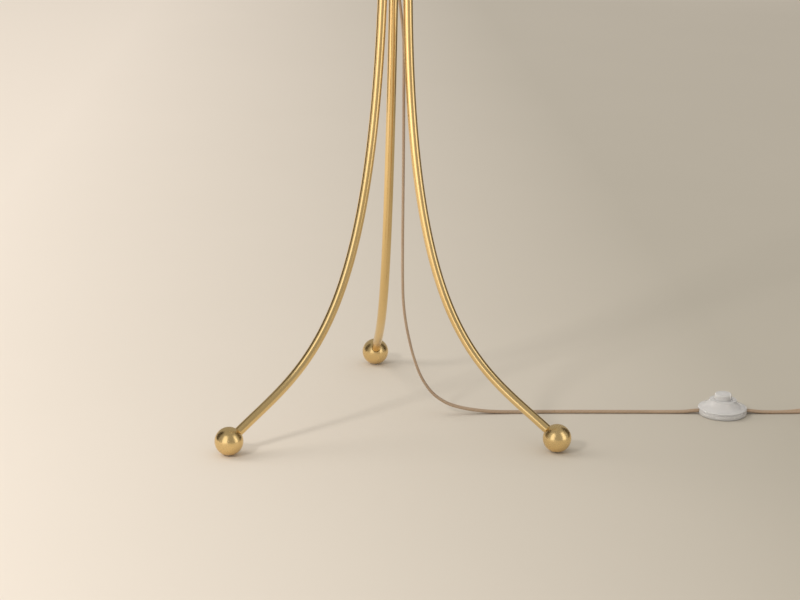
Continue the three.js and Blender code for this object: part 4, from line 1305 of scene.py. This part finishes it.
def make_plug():
    low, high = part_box("plug_body")
    centre_x = (low.x + high.x) / 2
    start_y = high.y
    stations = [
        (0, 5.0, 3.1), (1.2, 5.4, 3.4), (4, 5.4, 3.4), (4.8, 4.9, 2.9), (6.2, 4.9, 2.9), (7, 5.6, 3.6),
        (9.4, 5.7, 3.7), (10.2, 5.1, 3.1), (11.6, 5.1, 3.1), (12.4, 6.2, 4.2), (15, 7.6, 4.7),
        (18, 9.8, 5.4), (21, 11.5, 5.9), (24, 12, 6), (30, 11.4, 6), (31, 11.1, 5.7), (33, 11.1, 5.7),
        (34, 11.4, 6), (37, 11.3, 6), (38, 11, 5.7), (40, 11, 5.7), (41, 11.2, 6), (44, 11.2, 6),
        (45, 10.6, 5.5),
    ]
    rings = []
    for along, wide, tall in stations:
        ring = []
        for i in range(48):
            angle = TURN * i / 48
            power = 0.55  # a rounded oblong
            a = math.copysign(abs(math.cos(angle)) ** power, math.cos(angle)) * wide
            b = math.copysign(abs(math.sin(angle)) ** power, math.sin(angle)) * tall
            ring.append(Vector((centre_x + a * MM, start_y - along * MM, (PLUG_HIGH / 2 + b) * MM)))
        rings.append(ring)
    body = skin("plug_shell", rings, sharp=60)
    made = []
    tools = []
    for side in ("left", "right"):
        node = f"plug_blade_{side}"
        low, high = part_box(node)
        spot = (low + high) / 2
        room = SEAT * MM
        tools.append(
            block(high.x - low.x + 2 * room, high.y - low.y + 2 * room, low.z - room, high.z + room, spot)
        )
        made.append(make_blade(node, low, high))
    made.append(fit(cut(body, *tools), plug_vinyl, "plug_body"))
    return made


def make_blade(node, low, high):
    """A flat blade with a rounded tip and the hole near its end."""
    half = (high.z - low.z) / 2
    middle_z = (low.z + high.z) / 2
    angles = [math.radians(a) for a in range(0, 181, 15)]
    tip = [(low.y + half * 0.8 * (1 - math.sin(a)), middle_z + half * math.cos(a)) for a in angles]
    outline = [(high.y, high.z), *tip, (high.y, low.z)]
    piece = slab(node + "_brass", outline, low.x, high.x, 0.25 * MM)
    turn = Matrix(((0, 0, 1, 0), (1, 0, 0, 0), (0, 1, 0, 0), (0, 0, 0, 1)))
    piece.data.transform(turn)
    hole_at = Vector((0, low.y + 0.0042, middle_z))
    hole = rod(0.0016, hole_at + Vector((low.x - 0.001, 0, 0)), hole_at + Vector((high.x + 0.001, 0, 0)))
    return fit(cut(piece, hole), raw_brass, node)


cord_pieces = [make_tie("near", 225), make_tie("far", 45), *make_plug()]


# ---------- CAD nodes that stay ----------

KEPT = {
    steel: ["foot_stud_back", "foot_stud_left", "foot_stud_right", "hub_nipple", "coupler_nipple",
            "neck_nipple"],
    raw_brass: ["centre_contact"],
    black_plastic: ["socket_core"],
    cord_vinyl: ["stem_cord"],
}
for finish, nodes in KEPT.items():
    for node in nodes:
        mesh = frame["nodes"][node].data
        mesh.materials.clear()
        mesh.materials.append(finish)


# ---------- Floor and light ----------

# Painted light and painted shade: the floor is coloured lighter on the left and darker on the right, as if
# the light fell off across it.
FLOOR_PAINTED_LIGHT = (0.89, 0.817, 0.745)
FLOOR_PAINTED_SHADE = (0.485, 0.452, 0.388)
FLOOR_ACROSS = (-0.65, 0.5)  # metres to the right, between which the floor goes from its painted light to its painted shade
FLOOR_BACK = (0.5, 3.4)  # metres to the back, between which the painted light grows a little
FLOOR_FADE = (3.4, 7.0)  # metres from the middle, between which the floor turns to one even tone
FAR_TONE = 0.25  # that tone, from the left's painted light (0) to the right's painted shade (1)


def make_floor():
    """A pale floor, wide enough to fill every view, with painted light on its left that turns to painted
    shade on its right, and one even tone far off.
    """
    rings = [[Vector((0, 0, 0))]]
    for radius in (0.5, 1, 2, 4, 8, 16, 40):
        rings.append([Vector((a, b, 0)) for a, b in circle(radius, 96)])
    mesh = bpy.data.meshes.new("floor")
    work = bmesh.new()
    loops = [[work.verts.new(p) for p in ring] for ring in rings]
    for inner, outer in zip(loops, loops[1:]):
        for i in range(96):
            j = (i + 1) % 96
            if len(inner) == 1:
                work.faces.new((inner[0], outer[i], outer[j]))
            else:
                work.faces.new((inner[i], outer[i], outer[j], inner[j]))
    work.to_mesh(mesh)
    work.free()
    floor = new_object("floor", mesh)
    finish = Finish("floor_painted_light_and_shade", (0.70, 0.64, 0.55), roughness=0.9)
    side = finish.node("ShaderNodeSeparateXYZ")
    finish.link(finish.place(), side.inputs["Vector"])
    drift = finish.sum(finish.noise(2.5, 3), 0.05, "MULTIPLY")
    # Painted shade: the colour darkens from left to right, and a little towards the front, in place of the
    # light's fall-off.
    painted_falloff = finish.sum(finish.spread(side.outputs["X"], 0, 0.95, *FLOOR_ACROSS), drift)
    painted_falloff = finish.sum(painted_falloff, finish.spread(side.outputs["Y"], 0, 0.2, *FLOOR_BACK), "SUBTRACT")
    reach = finish.node("ShaderNodeVectorMath", operation="LENGTH")
    finish.link(finish.place(), reach.inputs[0])
    distant = finish.spread(reach.outputs["Value"], 0, 1, *FLOOR_FADE)
    pull = finish.sum(FAR_TONE, painted_falloff, "SUBTRACT")
    finish.colors(finish.sum(painted_falloff, finish.sum(distant, pull, "MULTIPLY")),
                  [(0.03, FLOOR_PAINTED_LIGHT), (1.0, FLOOR_PAINTED_SHADE)])
    floor.data.materials.append(finish.material)


def around(azimuth, distance, height):
    """A place round the lamp's axis; azimuth 0 is towards the front, and 90 to the right."""
    angle = math.radians(azimuth)
    return AXIS + Vector((math.sin(angle) * distance, -math.cos(angle) * distance, height))


def make_light(name, place, aim, size, power, color, seen_by):
    data = bpy.data.lights.new(name, "AREA")
    data.shape = "RECTANGLE"
    data.size, data.size_y = size
    data.energy = power
    data.color = color
    light = bpy.data.objects.new(name, data)
    bpy.context.scene.collection.objects.link(light)
    light.location = place
    light.rotation_euler = (Vector(aim) - Vector(place)).to_track_quat("-Z", "Y").to_euler()
    light.visible_camera = False
    for ray in ("diffuse", "glossy", "transmission"):
        setattr(light, f"visible_{ray}", ray in seen_by)


def make_flag(name, azimuth):
    """A dark panel that stands to one side and gives the brass its dark edges."""
    low, high = around(azimuth - 17, FLAG_DISTANCE, 0), around(azimuth + 17, FLAG_DISTANCE, 0)
    rings = [[low, high, high + UP * 1.9, low + UP * 1.9]]
    back = (low + high).normalized() * 0.02
    rings.append([p + back for p in rings[0]])
    panel = skin(name, rings)
    finish = Finish(name + "_felt", (0.06, 0.05, 0.04), roughness=1.0)
    panel.data.materials.append(finish.material)
    for ray in ("camera", "diffuse", "transmission", "shadow", "volume_scatter"):
        setattr(panel, f"visible_{ray}", False)


WARM = (1.0, 0.955, 0.89)
FLAG_DISTANCE = 1.5
SKY = (1.0, 0.955, 0.88, 1)
SKY_STRENGTH = 0.67
SKY_REFLECTED = 0.40  # what the brass mirrors of it


def make_lights():
    lit = ("diffuse", "transmission")
    make_light("wash", (-4.6, 1.2, 3.4), (-0.4, 1.2, 0), (3.0, 6.0), 150, WARM, lit)
    make_light("key", around(-43, 2.6, 2.0), AXIS, (0.4, 0.4), 27, WARM, lit)
    mirrored = ("glossy", "transmission")
    make_light("left_box", around(-38, 1.35, 0.86), AXIS + UP * 0.86, (0.86, 1.7), 4.5, WARM, mirrored)
    make_light("right_box", around(56, 1.35, 0.86), AXIS + UP * 0.86, (0.6, 1.7), 3.3, WARM, mirrored)
    make_flag("left_flag", -108)
    make_flag("right_flag", 112)
    world = bpy.data.worlds.new("studio")
    bpy.context.scene.world = world
    world.use_nodes = True
    nodes, links = world.node_tree.nodes, world.node_tree.links
    sky = nodes["Background"]
    sky.inputs["Color"].default_value = SKY
    ray = nodes.new("ShaderNodeLightPath")
    strength = nodes.new("ShaderNodeMapRange")
    strength.inputs["To Min"].default_value = SKY_STRENGTH
    strength.inputs["To Max"].default_value = SKY_REFLECTED
    links.new(ray.outputs["Is Glossy Ray"], strength.inputs["Value"])
    links.new(strength.outputs["Result"], sky.inputs["Strength"])


make_floor()
make_lights()
bpy.context.scene.view_settings.view_transform = "Standard"
